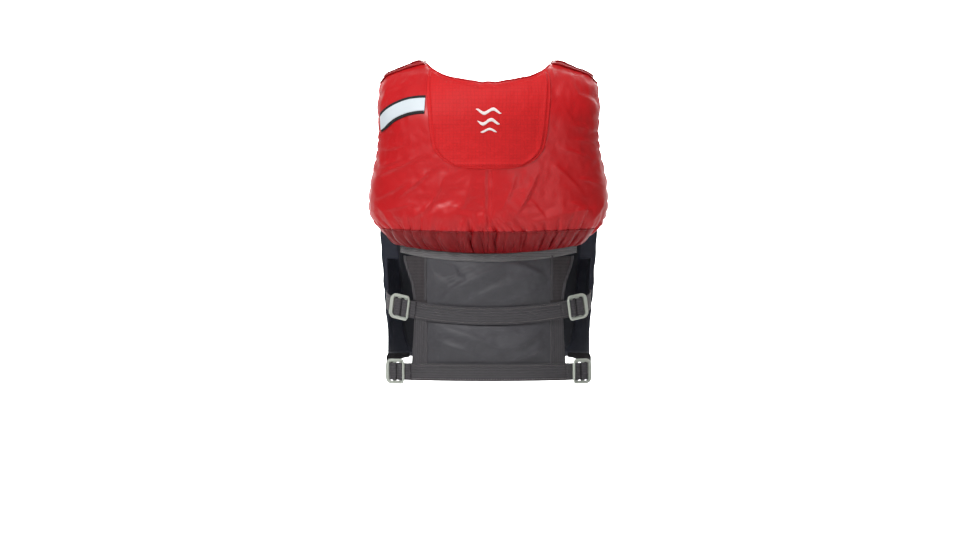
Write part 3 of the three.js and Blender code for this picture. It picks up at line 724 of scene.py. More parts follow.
RED_NYLON = cloth_material("red shell nylon", colour(182, 13, 19), colour(136, 7, 13), 0.42, 0.05,
                           weave=0.0004, sheen_tint=colour(255, 90, 80), patch=0.45, specular=0.36)
RED_RIPSTOP = cloth_material("yoke ripstop", colour(194, 15, 19), colour(140, 7, 11), 0.66, 0.05,
                             weave=0.0005, grid=0.0044)
RED_PIPING = cloth_material("red piping", colour(176, 12, 18), colour(120, 5, 10), 0.5, 0.1, weave=0.0005)
# A darker red for the shoulder covers: painted shade where the shoulders turn away from the light.
SHADED_SHOULDER_RED = cloth_material("shoulder nylon with painted shade", colour(150, 6, 14), colour(96, 3, 8), 0.5, 0.1, weave=0.0005)
# A darker copy of the red shell cloth for the gusset and bead under the hem: painted shade where the cloth
# faces down.
SHADED_HEM_RED = cloth_material("gusset nylon with painted shade", colour(132, 6, 12), colour(84, 3, 7), 0.5, 0.03,
                          weave=0.0004)
LINING = cloth_material("knit lining", colour(44, 46, 52), colour(26, 27, 31), 0.9, 0.2, weave=0.0009)
NAVY = cloth_material("navy nylon", colour(36, 39, 50), colour(20, 22, 30), 0.7, 0.15, weave=0.0006)
STRETCH = cloth_material("charcoal stretch knit", colour(62, 61, 66), colour(30, 29, 32), 0.62, 0.25,
                         weave=0.0007, specular=0.5)
SIDE_MESH = cloth_material("side mesh", colour(66, 62, 64), colour(42, 40, 43), 0.85, 0.1, weave=0.0,
                           mesh_holes=0.0021)
HEM_GREY = cloth_material("woven hem tape", colour(108, 107, 108), colour(74, 73, 75), 0.8, 0.1, weave=0.0006,
                          ribs=0.0018)
WEB_DARK, WEB_PALE, WEB_BLACK = (
    cloth_material(name, base, dark, 0.78, 0.1, weave=0.0, ribs=0.0017)
    for name, base, dark in (("ribbed webbing", colour(76, 74, 77), colour(40, 39, 41)),
                             ("pale webbing", colour(98, 95, 96), colour(60, 58, 60)),
                             ("black webbing", colour(32, 32, 34), colour(14, 14, 16))))
BORDER = cloth_material("reflector backing", colour(30, 29, 31), colour(18, 18, 20), 0.7, 0.1, weave=0.0006)
REFLECT = cloth_material("reflective tape", colour(192, 200, 205), colour(166, 175, 181), 0.34, 0.0,
                         weave=0.0009, weave_depth=0.3, patch=0.3)
THREAD_RED = cloth_material("red thread", colour(176, 20, 28), colour(140, 12, 20), 0.6, 0.3, weave=0.0)
THREAD_GREY = cloth_material("grey thread", colour(140, 137, 135), colour(110, 108, 106), 0.7, 0.3, weave=0.0)
THREAD_DARK = cloth_material("dark thread", colour(38, 37, 40), colour(26, 26, 28), 0.7, 0.2, weave=0.0)
PRINT_WHITE = cloth_material("white print", colour(216, 208, 206), colour(200, 188, 186), 0.5, 0.0,
                             weave=0.0005)
ZIP_TAPE = cloth_material("zip tape", colour(26, 26, 28), colour(14, 14, 16), 0.8, 0.1, weave=0.0007)
COIL = moulded_material("zip coil", colour(38, 38, 41), colour(22, 22, 24), 0.45)
BUCKLE = moulded_material("grey moulded plastic", colour(166, 171, 162), colour(136, 141, 133), 0.42)
ZIP_PLASTIC = moulded_material("zip hardware", colour(150, 152, 148), colour(112, 114, 111), 0.35, 0.6)


# ---- small parts: tubes, stitches, ribbons ----
def tube(name, points, radius, sides=8):
    """A round bead along points, with closed ends."""
    points = np.asarray(points, float)
    tangent = unit(np.gradient(points, axis=0))
    side = unit(np.cross(tangent, np.array([0.0, 0.31, 0.95])))
    other = np.cross(tangent, side)
    ring = np.linspace(0, 2 * math.pi, sides, endpoint=False)
    skin = (points[:, None] + radius * (side[:, None] * np.cos(ring)[None, :, None]
                                        + other[:, None] * np.sin(ring)[None, :, None]))
    count = len(points)
    faces = []
    for j in range(count - 1):
        for i in range(sides):
            n = (i + 1) % sides
            faces.append((j * sides + i, j * sides + n, (j + 1) * sides + n, (j + 1) * sides + i))
    faces.append(tuple(range(sides - 1, -1, -1)))
    faces.append(tuple((count - 1) * sides + i for i in range(sides)))
    long = np.concatenate([[0], np.cumsum(np.linalg.norm(np.diff(points, axis=0), axis=1))])
    uv = np.stack([np.repeat(long, sides), np.tile(ring * radius, count)], -1)
    return outward(new_mesh(name, skin.reshape(-1, 3), faces, uv))


STITCH_FACES = [(0, 1, 4), (0, 4, 2), (1, 5, 4), (2, 4, 5), (1, 3, 5), (2, 5, 3)]


def stitches(name, path, out, body, slot, material, long=2.6, gap=1.2, wide=0.55, high=0.3):
    """A row of separate thread stitches along path, lying on the cloth whose outward directions are given."""
    path, out = np.asarray(path, float), np.asarray(out, float)
    step = np.linalg.norm(np.diff(path, axis=0), axis=1)
    far = np.concatenate([[0], np.cumsum(step)])
    points, faces, uvs = [], [], []
    at = 0.0008
    while at + long / 1000 < far[-1]:
        ends = []
        for place in (at, at + long / 1000):
            ends.append(np.array([np.interp(place, far, path[:, k]) for k in range(3)]))
        normal = unit(np.array([np.interp(at, far, out[:, k]) for k in range(3)]))
        way = unit(ends[1] - ends[0])
        across = np.cross(normal, way) * wide / 2000
        lift = normal * high / 1000
        base = len(points)
        middle = (ends[0] + ends[1]) / 2
        points += [ends[0] - normal * 0.0002, middle - across, middle + across, ends[1] - normal * 0.0002,
                   ends[0] * 0.75 + ends[1] * 0.25 + lift, ends[0] * 0.25 + ends[1] * 0.75 + lift]
        faces += [tuple(base + corner for corner in face) for face in STITCH_FACES]
        uvs += [(0, 0)] * 6
        at += (long + gap) / 1000
    obj = new_mesh(name, points, faces, uvs, smooth=False)
    return finish_piece(obj, body, material)


def stitch_on(name, face, t, v, d, body, slot, material, **more):
    t, v = np.broadcast_arrays(np.asarray(t, float), np.asarray(v, float))
    point, _, _, out = frames(face, t, v)
    path = point + out * (np.asarray(d, float) * np.ones(t.shape))[:, None] / 1000
    return stitches(name, path, out, body, slot, material, **more)


def seat(face, t, v, d, lift=False, tilt=0.0):
    """The local frame of a part on the body: x along its strap, y across, z outward, in millimetres."""
    point, along, up, out = (a[0] for a in frames(face, np.array([t]), np.array([v])))
    origin = point + out * d / 1000
    x = Vector(up if lift else along * (-1 if t < 0 else 1))
    x = Matrix.Rotation(tilt, 3, Vector(out)) @ x
    y = Vector(out).cross(x)
    matrix = Matrix.Identity(4)
    for row in range(3):
        matrix[row][0], matrix[row][1], matrix[row][2] = x[row] / 1000, y[row] / 1000, out[row] / 1000
        matrix[row][3] = origin[row]
    return matrix


def ribbon(name, matrix, path, width, thick):
    """Webbing that follows a path of [x, z] in a local frame."""
    path = np.asarray(path, float)
    for _ in range(2):
        inner = np.empty((2 * len(path) - 2, 2))
        inner[0::2] = path[:-1] * 0.75 + path[1:] * 0.25
        inner[1::2] = path[:-1] * 0.25 + path[1:] * 0.75
        path = np.vstack([path[:1], inner, path[-1:]])
    way = unit(np.gradient(path, axis=0))
    normal = np.stack([-way[:, 1], way[:, 0]], -1)
    far = np.concatenate([[0], np.cumsum(np.linalg.norm(np.diff(path, axis=0), axis=1))])
    across = np.linspace(-width / 2, width / 2, 9)
    layers = []
    for sign in (-1, 1):
        edge = path + normal * sign * thick / 2
        grid = np.zeros((len(path), len(across), 3))
        grid[..., 0], grid[..., 2] = edge[:, None, 0], edge[:, None, 1]
        grid[..., 1] = across[None, :]
        layers.append(grid)
    turn = np.array(matrix)
    near, far_side = (grid @ turn[:3, :3].T + turn[:3, 3] for grid in layers)
    uv = np.stack(np.broadcast_arrays(far[:, None] / 1000, across[None, :] / 1000), -1)
    return closed_slab(name, near, far_side, uv, rim_steps=3, rim_bulge=0.25)


def rounded_outline(x0, x1, half, radius0, radius1, steps=6):
    """A rectangle from x0 to x1 with corners of radius0 at x0 and radius1 at x1."""
    corners = [(x1 - radius1, -half + radius1, radius1, -90), (x1 - radius1, half - radius1, radius1, 0),
               (x0 + radius0, half - radius0, radius0, 90), (x0 + radius0, -half + radius0, radius0, 180)]
    outline = []
    for cx, cy, radius, start in corners:
        for k in range(steps + 1):
            angle = math.radians(start + 90 * k / steps)
            outline.append((cx + radius * math.cos(angle), cy + radius * math.sin(angle)))
    return outline


def moulded_plate(name, outlines, thick, bevel):
    """A flat moulding with rounded edges from a closed outline and the outlines of its openings."""
    curve = bpy.data.curves.new(name, "CURVE")
    curve.dimensions = "2D"
    curve.fill_mode = "BOTH"
    curve.extrude = thick / 2 - bevel
    curve.bevel_depth = bevel
    curve.offset = -bevel
    curve.bevel_resolution = 2
    for outline in outlines:
        spline = curve.splines.new("POLY")
        spline.points.add(len(outline) - 1)
        for point, (x, y) in zip(spline.points, outline):
            point.co = (x, y, 0, 1)
        spline.use_cyclic_u = True
    holder = linked(name + "_outline", curve)
    graph = bpy.context.evaluated_depsgraph_get()
    mesh = bpy.data.meshes.new_from_object(holder.evaluated_get(graph))
    bpy.data.objects.remove(holder)
    mesh.materials.clear()
    mesh.transform(Matrix.Translation((0, 0, thick / 2)))
    return linked(name, mesh)


def place(obj, matrix):
    """Moves a mesh out of its local frame to its seat on the body."""
    obj.data.transform(matrix)
    obj.data.update()
    return outward(obj)


def soften(obj, angle=40):
    """Smooth shading, with edges sharper than angle kept crisp."""
    obj.data.polygons.foreach_set("use_smooth", [True] * len(obj.data.polygons))
    modifier = obj.modifiers.new("edges", "EDGE_SPLIT")
    modifier.split_angle = math.radians(angle)
    apply_modifiers(obj)
    return obj


def joined(name, objects):
    """Several meshes made one piece."""
    edit = bmesh.new()
    for obj in objects:
        edit.from_mesh(obj.data)
    mesh = bpy.data.meshes.new(name)
    edit.to_mesh(mesh)
    edit.free()
    for obj in objects:
        bpy.data.objects.remove(obj)
    return linked(name, mesh)


# ---- back panel ----
def back_place(s, w):
    """Positions in the back panel, s from edge to edge (-1 to 1) and w from the hem to the top (0 to 1)."""
    low = seam_line(s * BACK_BOTTOM_EDGE)
    v = lerp(low, back_top(s * BACK_TOP_EDGE), lerp(w, w * w, 0.45))
    return s * back_edge(v), v


def back_panel():
    u, w = cells(*(((230, 160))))
    s = 2 * u - 1
    t, v = back_place(s, w)
    low_v = lerp(gusset_line(s * BACK_BOTTOM_EDGE), back_top(s * BACK_TOP_EDGE), w)
    near = put(-1, t, low_v, FOAM_START - 0.2)
    far = put(-1, t, v, back_depth(t, v))

    def rim_shape(sides, edge, share):
        """Deep pleats in the gusset under the hem and shallow ripples at the sides."""
        bell = math.sin(math.pi * share) ** 0.6
        ut, uv = edge[:, 0] * 1000, edge[:, 1] * 1000
        sides = np.array(sides)
        pleats = 8.0 * (gathers(ut + 5 * share) - 0.62) * bell
        ripples = 2.2 * (arm_gathers(uv + 3 * share) - 0.62) * bell
        return np.where(sides == 0, pleats, np.where(sides == 2, 0.0, ripples))

    uv = np.stack([t, v], -1) / 1000
    # The gusset under the hem (rim side 0, slot 1) takes the darker red as painted shade.
    shell = closed_slab("back_shell", near, far, uv, rim_steps=12, rim_bulge=3.2,
                        rim_slots={0: 1, 1: 3, 2: 3, 3: 3}, near_slot=2, rim_shape=rim_shape)
    finish_piece(shell, "back", [RED_NYLON, SHADED_HEM_RED, LINING, RED_PIPING],
                 ["back_foam", "back_shell_left", "back_shell_right", "back_side_gusset_left",
                  "back_side_gusset_right", "back_bottom_gusset", "back_top_binding"])

    u, w = cells(40, 36)
    s = 2 * u - 1
    t, _ = back_place(s, w)
    v = lerp(gusset_line(s * BACK_BOTTOM_EDGE) + 1.5, back_top(s * BACK_TOP_EDGE) - 1.5, w)
    liner = layered("back_liner_cloth", -1, t, v, 0.4, 1.5)
    finish_piece(liner, "back", LINING, ["back_liner"])

    s = np.linspace(-1, 1, 240)
    for name, w_at, radius in (("back_hem_bead", 0.0, 1.5), ("back_neck_bead", 1.0, 1.7)):
        t, v = back_place(s, np.full(s.shape, w_at))
        bead = tube(name, put(-1, t, v, back_depth(t, v) - 0.4), radius / 1000)
        # The hem bead takes the darker red as painted shade under the hem; the neck bead takes the piping
        # red.
        finish_piece(bead, "back", RED_PIPING if w_at else SHADED_HEM_RED)
    w = np.linspace(0, 1, 150)
    for side, name in ((-1, "left"), (1, "right")):
        t, v = back_place(np.full(w.shape, float(side)), w)
        bead = tube(f"back_side_bead_{name}", put(-1, t, v, back_depth(t, v) - 0.3), 0.0015)
        finish_piece(bead, "back", RED_NYLON)
        t = t * (1 - 5.5 / back_edge(v))
        stitch_on(f"back_side_stitch_{name}", -1, t, v, back_depth(t, v) + 0.1, "back", "red_shell",
                  THREAD_RED)
    v = np.linspace(SEAM_HEIGHT + 4, YOKE_BOTTOM - 2, 60)
    for side, name in ((-1, "left"), (1, "right")):
        t = np.full(v.shape, side * 3.4)
        stitch_on(f"back_centre_stitch_{name}", -1, t, v, back_depth(t, v) + 0.1, "back", "red_shell",
                  THREAD_RED)


# ---- yoke, reflector and printed mark ----
def yoke_half(v):
    return YOKE_HALF * through([(0, 0.34), (2, 0.47), (5, 0.59), (9, 0.68), (16, 0.79), (24, 0.87),
                                (34, 0.93), (66, 0.99), (128, 1.08)], v - YOKE_BOTTOM)


def yoke_depth(t, v):
    sides_and_foot = np.minimum(yoke_half(v) - np.abs(t), v - YOKE_BOTTOM + 0.4)
    border = np.minimum(sides_and_foot, back_top(t) - YOKE_TOP_GAP - v)
    lift = 0.9 + 1.9 * ease(0, 7, border) - 1.1 * np.exp(-(((border - 3.4) / 1.1) ** 2))
    loose = back_folds(t, v) - 1.4 + swell_at("back", *back_share(np.asarray(t, float), np.asarray(v, float)))
    broad = back_depth(t, v) - 0.75 * loose * ease(0, 14, border)
    return broad + lift + 0.5 * rumple(t / 18, v / 22, 14.0)


def yoke():
    u, w = cells(112, 96)
    s = 2 * u - 1
    v = lerp(YOKE_BOTTOM, back_top(s * YOKE_TOP_HALF) - YOKE_TOP_GAP, w)
    t = s * yoke_half(v)
    piece = layered("yoke_panel", -1, t, v, back_thick(t, v) + SHELL - 0.4, yoke_depth(t, v), rim_steps=4,
                    rim_bulge=0.4)
    finish_piece(piece, "back", RED_RIPSTOP, ["back_yoke"])
    down = np.linspace(1, 0, 90)
    across = np.linspace(-1, 1, 100)
    top = back_top(np.array([YOKE_TOP_HALF]))[0] - YOKE_TOP_GAP
    for row, inset in (("outer", 3.4), ("inner", 6.2)):
        corner = YOKE_BOTTOM + inset + 8
        side_v = lerp(corner, top, down)
        side_t = yoke_half(side_v) - inset
        low_t = across * (yoke_half(corner) - inset)
        low_v = YOKE_BOTTOM + inset + 8 * np.clip((np.abs(across) - 0.55) / 0.45, 0, None) ** 2.2
        t = np.concatenate([-side_t, low_t, side_t[::-1]])
        v = np.concatenate([side_v, low_v, side_v[::-1]])
        stitch_on(f"yoke_stitch_{row}", -1, t, v, yoke_depth(t, v) + 0.1, "back", "yoke_ripstop", THREAD_RED)


def printed_mark():
    """A plain mark of three waves, printed in white on the yoke."""
    for k, (height, half) in enumerate(((385, 14.5), (374, 13.0), (363, 9.5))):
        x = np.linspace(-half, half, 41)
        wave = height + 2.2 * np.sin(x / 3.1 + 0.6 * k)
        wide = 1.7 * np.clip(1 - (np.abs(x) / half) ** 6, 0.25, 1)
        across = np.linspace(-1, 1, 5)[:, None]
        t, v = x[None, :] + 0 * across, wave[None, :] + across * wide[None, :]
        patch = layered(f"mark_wave_{k + 1}", -1, t, v, yoke_depth(t, v) - 0.1, yoke_depth(t, v) + 0.45)
        finish_piece(patch, "back", PRINT_WHITE)


def reflector():
    """The reflective band on the left shoulder blade, on its darker backing."""
    for width, name, low, high, material, slot, node in (
            (20.5, "reflector_backing", 0.2, 1.0, BORDER, "reflector_border", "reflector_border"),
            (14.2, "reflective_strip", 0.8, 1.5, REFLECT, "reflective_tape", "reflector_band")):
        u, w = cells(46, 10)
        rise = lerp(393.0, 374.5, u**1.5) + 2 * np.sin(math.pi * u)
        v = rise + (w - 0.5) * width
        t = -lerp(YOKE_HALF + 5, back_edge(v) - 7, u)
        base = back_depth(t, v) - 0.5 * (back_folds(t, v) - 1.4)
        piece = layered(name, -1, t, v, base + low, base + high, rim_steps=2, rim_bulge=0.1)
        finish_piece(piece, "back", material, [node])


# ---- lower back ----
def mid_line(t):
    """The height of the middle strap, which rises towards the sides."""
    return MID_HEIGHT + MID_LIFT * (t / ADJUSTER_REACH) ** 2


def lower_half(v):
    """The half width of the lower back, which is drawn in at the middle strap."""
    return through([(0, 121), (MID_HEIGHT, 116), (140, 121), (185, 136)], v)


def hem_top(t):
    return gusset_line(t) - 1.9


def panel_top(t):
    return hem_top(t) - 10.8


def slack(t, v):
    """How far the stretch cloth stands off the body between its straps."""
    mid = mid_line(t)
    upper = np.clip((v - mid - STRAP_HOLD) / (panel_top(t) - mid - STRAP_HOLD), 0, 1)
    lower = np.clip((v - LOW_STRAP_TOP) / (mid - STRAP_HOLD - LOW_STRAP_TOP), 0, 1)
    inside = np.where(v > mid, np.sin(math.pi * upper) * (v > mid + STRAP_HOLD),
                      np.sin(math.pi * lower) * (v < mid - STRAP_HOLD))
    inside = np.clip(inside, 0, 1) ** 0.6
    folds = 2.4 * rumple(t / 34, v / 30, 31.0) + 2.5
    for start, end, width, height in SLACK_CREASES:
        folds = folds + crease(t, v, start, end, width, height, 0.45)
    return inside * MOST_SLACK * np.tanh(np.clip(folds, 0, None) / MOST_SLACK) * (1 - (np.abs(t) / 97) ** 6)


# how far each side of its middle a strap holds the cloth down, the waist strap's top, and the most slack
STRAP_HOLD, LOW_STRAP_TOP, MOST_SLACK = 13, 27, 13
SLACK_CREASES = [
    ((-92, 104), (44, 178), 8, 15.0), ((-56, 100), (92, 164), 8, 12.0), ((-94, 176), (-24, 144), 6, -8.0),
    ((4, 106), (94, 136), 6, 8.0), ((-74, 136), (-4, 172), 5, 7.0), ((24, 176), (92, 148), 6, 7.0),
    ((-92, 86), (34, 36), 8, 14.0), ((-92, 62), (4, 26), 6, 9.0), ((92, 82), (-4, 36), 8, 13.0),
    ((94, 56), (20, 28), 5, 9.0), ((-44, 88), (64, 62), 6, 7.0),
]


def thin(name, face, t, v, d, thick, body, material, nodes=(), along_v=False):
    """A thin flat textile on the body, with its threads running along it."""
    piece = layered(name, face, t, v, d, d + thick, [v, t] if along_v else None, rim_steps=2, rim_bulge=0.2)
    return finish_piece(piece, body, material, nodes)


def lower_back():
    u, w = cells(96, 84)
    t = (2 * u - 1) * PANEL_HALF
    v = lerp(1.5, panel_top(t) + 2.0, w)
    cloth = thin("lower_back_cloth", -1, t, v, 0.5 + slack(t, v), 0.8, "back", STRETCH,
                 ["lower_back_panel"])

    u, w = cells(110, 6)
    t = (2 * u - 1) * (BACK_BOTTOM_EDGE + 5)
    v = hem_top(t) + 2.5 - 12.5 * (1 - w)
    thin("hem_tape_cloth", -1, t, v, 0.9 + 0.25 * np.sin(t / 4.0), 1.5, "back", HEM_GREY,
         ["hem_tape"])
    line = np.linspace(-BACK_BOTTOM_EDGE - 6, BACK_BOTTOM_EDGE + 6, 200)
    for k, off in enumerate((2.2, 8.0)):
        stitch_on(f"hem_tape_stitch_{k + 1}", -1, line, hem_top(line) - off, 2.6 + 0.25 * np.sin(line / 4.0),
                  "back", "hem_tape", THREAD_GREY)

    seam_top = panel_top(np.array(BINDING_SEAM))
    split = MID_HEIGHT + MID_LIFT + 2
    for side, name in ((-1, "left"), (1, "right")):
        u, w = cells(14, 40)
        v = lerp(split - 10, seam_top + 3, w)
        t = side * lerp(BINDING_SEAM, lower_half(v), u)
        bow = 0.9 * np.sin(math.pi * u) * np.sin(math.pi * w)
        thin(f"side_mesh_{name}_cloth", -1, t, v, 0.7 + bow, 0.7, "back", SIDE_MESH,
             [f"mesh_side_{name}"])
        v = lerp(1.0, split + 4, w)
        t = side * lerp(BINDING_SEAM - 1, lower_half(v) + 0.5, u)
        thin(f"side_binding_{name}_web", -1, t, v, 0.9, 1.3, "back", WEB_DARK,
             [f"side_binding_{name}"], along_v=True)
        for k, inset in enumerate((2.2, 18.0)):
            edge_v = np.linspace(28, split - 12, 60)
            stitch_on(f"side_binding_stitch_{name}_{k + 1}", -1, side * (lower_half(edge_v) - inset), edge_v,
                      np.full(60, 2.3), "back", "webbing_dark", THREAD_DARK)
        u, w = cells(4, 40)
        v = lerp(split + 10, seam_top + 4, w)
        for k, (low, high) in enumerate(((0.0, 4.5), (-1.0, 3.0))):
            edge = lower_half(v) if k == 0 else np.full(v.shape, BINDING_SEAM + 3)
            t = side * lerp(edge - high, edge - low, u)
            thin(f"mesh_edging_{name}_{k + 1}", -1, t, v, 1.6, 0.7, "back", WEB_DARK,
                 along_v=True)


# ---- webbing, adjusters ----
LEVELS = {
    "mid": dict(line=mid_line, reach=ADJUSTER_REACH, side=WEB_PALE, side_slot="webbing_pale", end=8.0),
    "waist": dict(line=lambda t: 13.0 + 0 * t, reach=ADJUSTER_REACH + 9, side=WEB_BLACK,
                  side_slot="webbing_black", end=22.0),
}
# how far an adjuster lies over the body: two clearances, the strap, and room for the loop under it
ADJUSTER_RISE = 0.8 + 1.6 + 1.25 + 1.05
# the adjuster's length, width and thickness, then its first bar, one slot and its middle bar along it
ADJUSTER_LONG, ADJUSTER_WIDE, ADJUSTER_THICK, BAR, SLOT, MIDDLE = 36.0, 37.0, 3.6, 4.5, 8.0, 5.0
SLOT_2 = BAR + SLOT + MIDDLE
# how far the frame reaches behind the first bar's outer edge, and in front of it
RIM_REACH, RIM_END = 6.8, 32.0


def adjuster(name, matrix, body, node):
    """A ladder adjuster: a rounded frame with three openings, both its ends turned up a little."""
    half = WEB / 2 + 1.2
    outlines = [rounded_outline(-RIM_REACH, RIM_END, ADJUSTER_WIDE / 2, 9.0, 9.5),
                rounded_outline(-RIM_REACH + 3.9, -0.2, half, 1.2, 0.8, 3),
                rounded_outline(BAR, BAR + SLOT, half, 1.4, 1.4, 3),
                rounded_outline(SLOT_2, SLOT_2 + SLOT + 0.6, half, 1.4, 3.4, 4)]
    whole = moulded_plate(name, outlines, ADJUSTER_THICK, 1.0)
    for vertex in whole.data.vertices:
        x = vertex.co.x
        vertex.co.z += 1.1 * max(0.0, (x - 22) / 9) ** 2 + 2.4 * min(1.0, max(0.0, -x / 5)) ** 1.5
    place(whole, matrix)
    soften(whole, 50)
    return finish_piece(whole, body, BUCKLE, [node])


def threaded(name, matrix, body, material, nodes):
    """Webbing threaded up through the first slot, over the middle bar and down through the second."""
    high = ADJUSTER_THICK + 1.1
    inner, outer = BAR + SLOT - 2.0, SLOT_2 + 5.6
    path = [[inner - 2.2, -1.5], [inner - 0.4, -1.0], [inner + 0.3, 1.6], [inner + 0.9, high - 0.5],
            [inner + 2.6, high], [outer - 2.6, high], [outer - 0.6, high - 0.6], [outer + 0.4, 1.4],
            [outer + 2.2, -1.1], [outer + 5.0, -1.5], [ADJUSTER_LONG + 1.0, -1.9]]
    return finish_piece(ribbon(name, matrix, path, WEB, 1.4), body, material, nodes)


def loop(name, matrix, body, adjuster_body, slot, material):
    """The webbing sewn round the first bar."""
    room = 0.9
    over = ADJUSTER_THICK + room
    path = [[-16, 0.4], [-8, 0.6], [-3.6, 1.4], [-1.6, over - 0.4], [0.8, over + 0.4],
            [BAR + 0.8, over + 0.2], [BAR + 3.2, ADJUSTER_THICK - 0.2], [BAR + 3.5, 1.5],
            [BAR + 2.6, -0.6], [BAR - 0.8, -room - 0.6], [-3, -room - 0.4], [-9, -0.9], [-16, -1.0]]
    bending_piece(ribbon(name, matrix, path, WEB - 0.4, 1.3), slot, material, (body, adjuster_body),
                  matrix @ Vector((-14, 0, 0)), matrix @ Vector((-4.5, 0, 0)))


def straps():
    """The middle and the waist strap across the back, each with an adjuster and a side strap at both ends."""
    for level, spec in LEVELS.items():
        line, reach = spec["line"], spec["reach"]
        u, w = cells(110, 36)
        t = (2 * u - 1) * (reach - 11)
        v = line(t) + (w - 0.5) * WEB
        depth = 2.4 + 0.7 * rumple(t / 34, v / 60, 41.0) + 0.22 * np.cos(w * 12 * math.pi)
        web = layered(f"{level}_strap_webbing", -1, t, v, depth, depth + WEB_THICK, [t, (w - 0.5) * WEB],
                      rim_steps=3, rim_bulge=0.3)
        finish_piece(web, "back", WEB_DARK, [f"{level}_strap_back"])
        run = np.linspace(-(reach - 12), reach - 12, 220)
        for k, off in enumerate((-9.8, 9.8)):
            stitch_on(f"{level}_strap_stitch_{k + 1}", -1, run, line(run) + off,
                      2.95 + WEB_THICK + 0.5 * rumple(run / 34, (line(run) + off) / 60, 41.0), "back",
                      "webbing_dark", THREAD_GREY)
        slope = math.atan2(float(line(reach)) - float(line(reach - 8)), 8)
        for side, name in ((-1, "left"), (1, "right")):
            matrix = seat(-1, side * reach, float(line(reach)), ADJUSTER_RISE, False, side * slope)
            body = f"{level}_adjuster_{name}"
            adjuster(f"{level}_adjuster_{name}_frame", matrix, body, f"{level}_adjuster_{name}")
            threaded(f"{level}_threaded_{name}", matrix, body, WEB_DARK,
                     [f"{level}_threaded_web_{name}"])
            loop(f"{level}_sewn_loop_{name}", matrix, "back", body, "webbing_dark", WEB_DARK)
            sewn = reach - 12
            bar_tack(f"{level}_loop_tack_{name}", -1, side * sewn, float(line(sewn)), 5.2, "back")
            side_strap(level, name, side, spec, slope)


def bar_tack(name, face, t, v, d, body, material=None):
    """A short dense zigzag of thread across the webbing."""
    across = np.linspace(-10.5, 10.5, 43)
    zigzag = np.where(np.arange(43) % 2 == 0, -1.1, 1.1)
    stitch_on(name, face, t + zigzag, v + across, np.full(43, d), body, "webbing_dark",
              material or THREAD_GREY, long=1.9, gap=0.1, wide=0.5)


def side_strap(level, name, side, spec, slope):
    """Webbing from the adjuster round the side of the body to the front panel, where it is sewn down."""
    reach, end = spec["reach"], spec["end"]
    start = reach + ADJUSTER_LONG - 6
    v0 = float(spec["line"](reach)) + math.tan(slope) * (ADJUSTER_LONG - 5)
    half = float(quarter(np.array(v0 + end)))
    front = float(front_edge(np.array(v0 + end + 6)))
    total = half + (half - front) - 1
    free = start + 20
    for first, last, columns, ending in ((start, free, 20, "_end"), (free + 0.15, total, 50, "")):
        u, w = cells(columns, 6)
        a = lerp(first, last, u)
        share = (a - start) / (total - start)
        v = v0 + (end + 8) * ease(start, total, a) + (w - 0.5) * (WEB - 0.5)
        wave = 0.4 * np.sin(share * 7.0) * np.sin(math.pi * share)
        depth = lerp(2.9, 6.2, ease(half - 24, half + 6, a)) + wave
        near, far = (
            np.where((a <= half)[..., None], put(-1, side * np.minimum(a, half), v, depth + rise),
                     put(1, side * np.minimum(2 * half - a, half), v, depth + rise))
            for rise in (0, WEB_THICK))
        uv = np.stack([a, (w - 0.5) * WEB], -1) / 1000
        piece = closed_slab(f"{level}_side_webbing_{name}{ending}", near, far, uv, rim_steps=3, rim_bulge=0.3)
        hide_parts(f"{level}_side_strap_{name}")
        if ending:
            bodies = f"{level}_adjuster_{name}", "back"
            bend = [put(-1, np.array([side * (start + off)]), np.array([v0]), 3.7)[0] for off in (1.0, 18.5)]
        else:
            bodies = "back", f"front_{name}"
            bend = [(side * 0.152, y, (v0 + end / 2 - SHOULDER_HEIGHT) / 1000) for y in (-0.022, 0.012)]
        bending_piece(piece, spec["side_slot"], spec["side"], bodies, *bend)
    for off, ending in ((9, ""), (9 + 14, "_2")):
        bar_tack(f"{level}_side_tack_{name}{ending}", 1, side * (front + off), v0 + end + 8, 8.3,
                 f"front_{name}", THREAD_DARK)


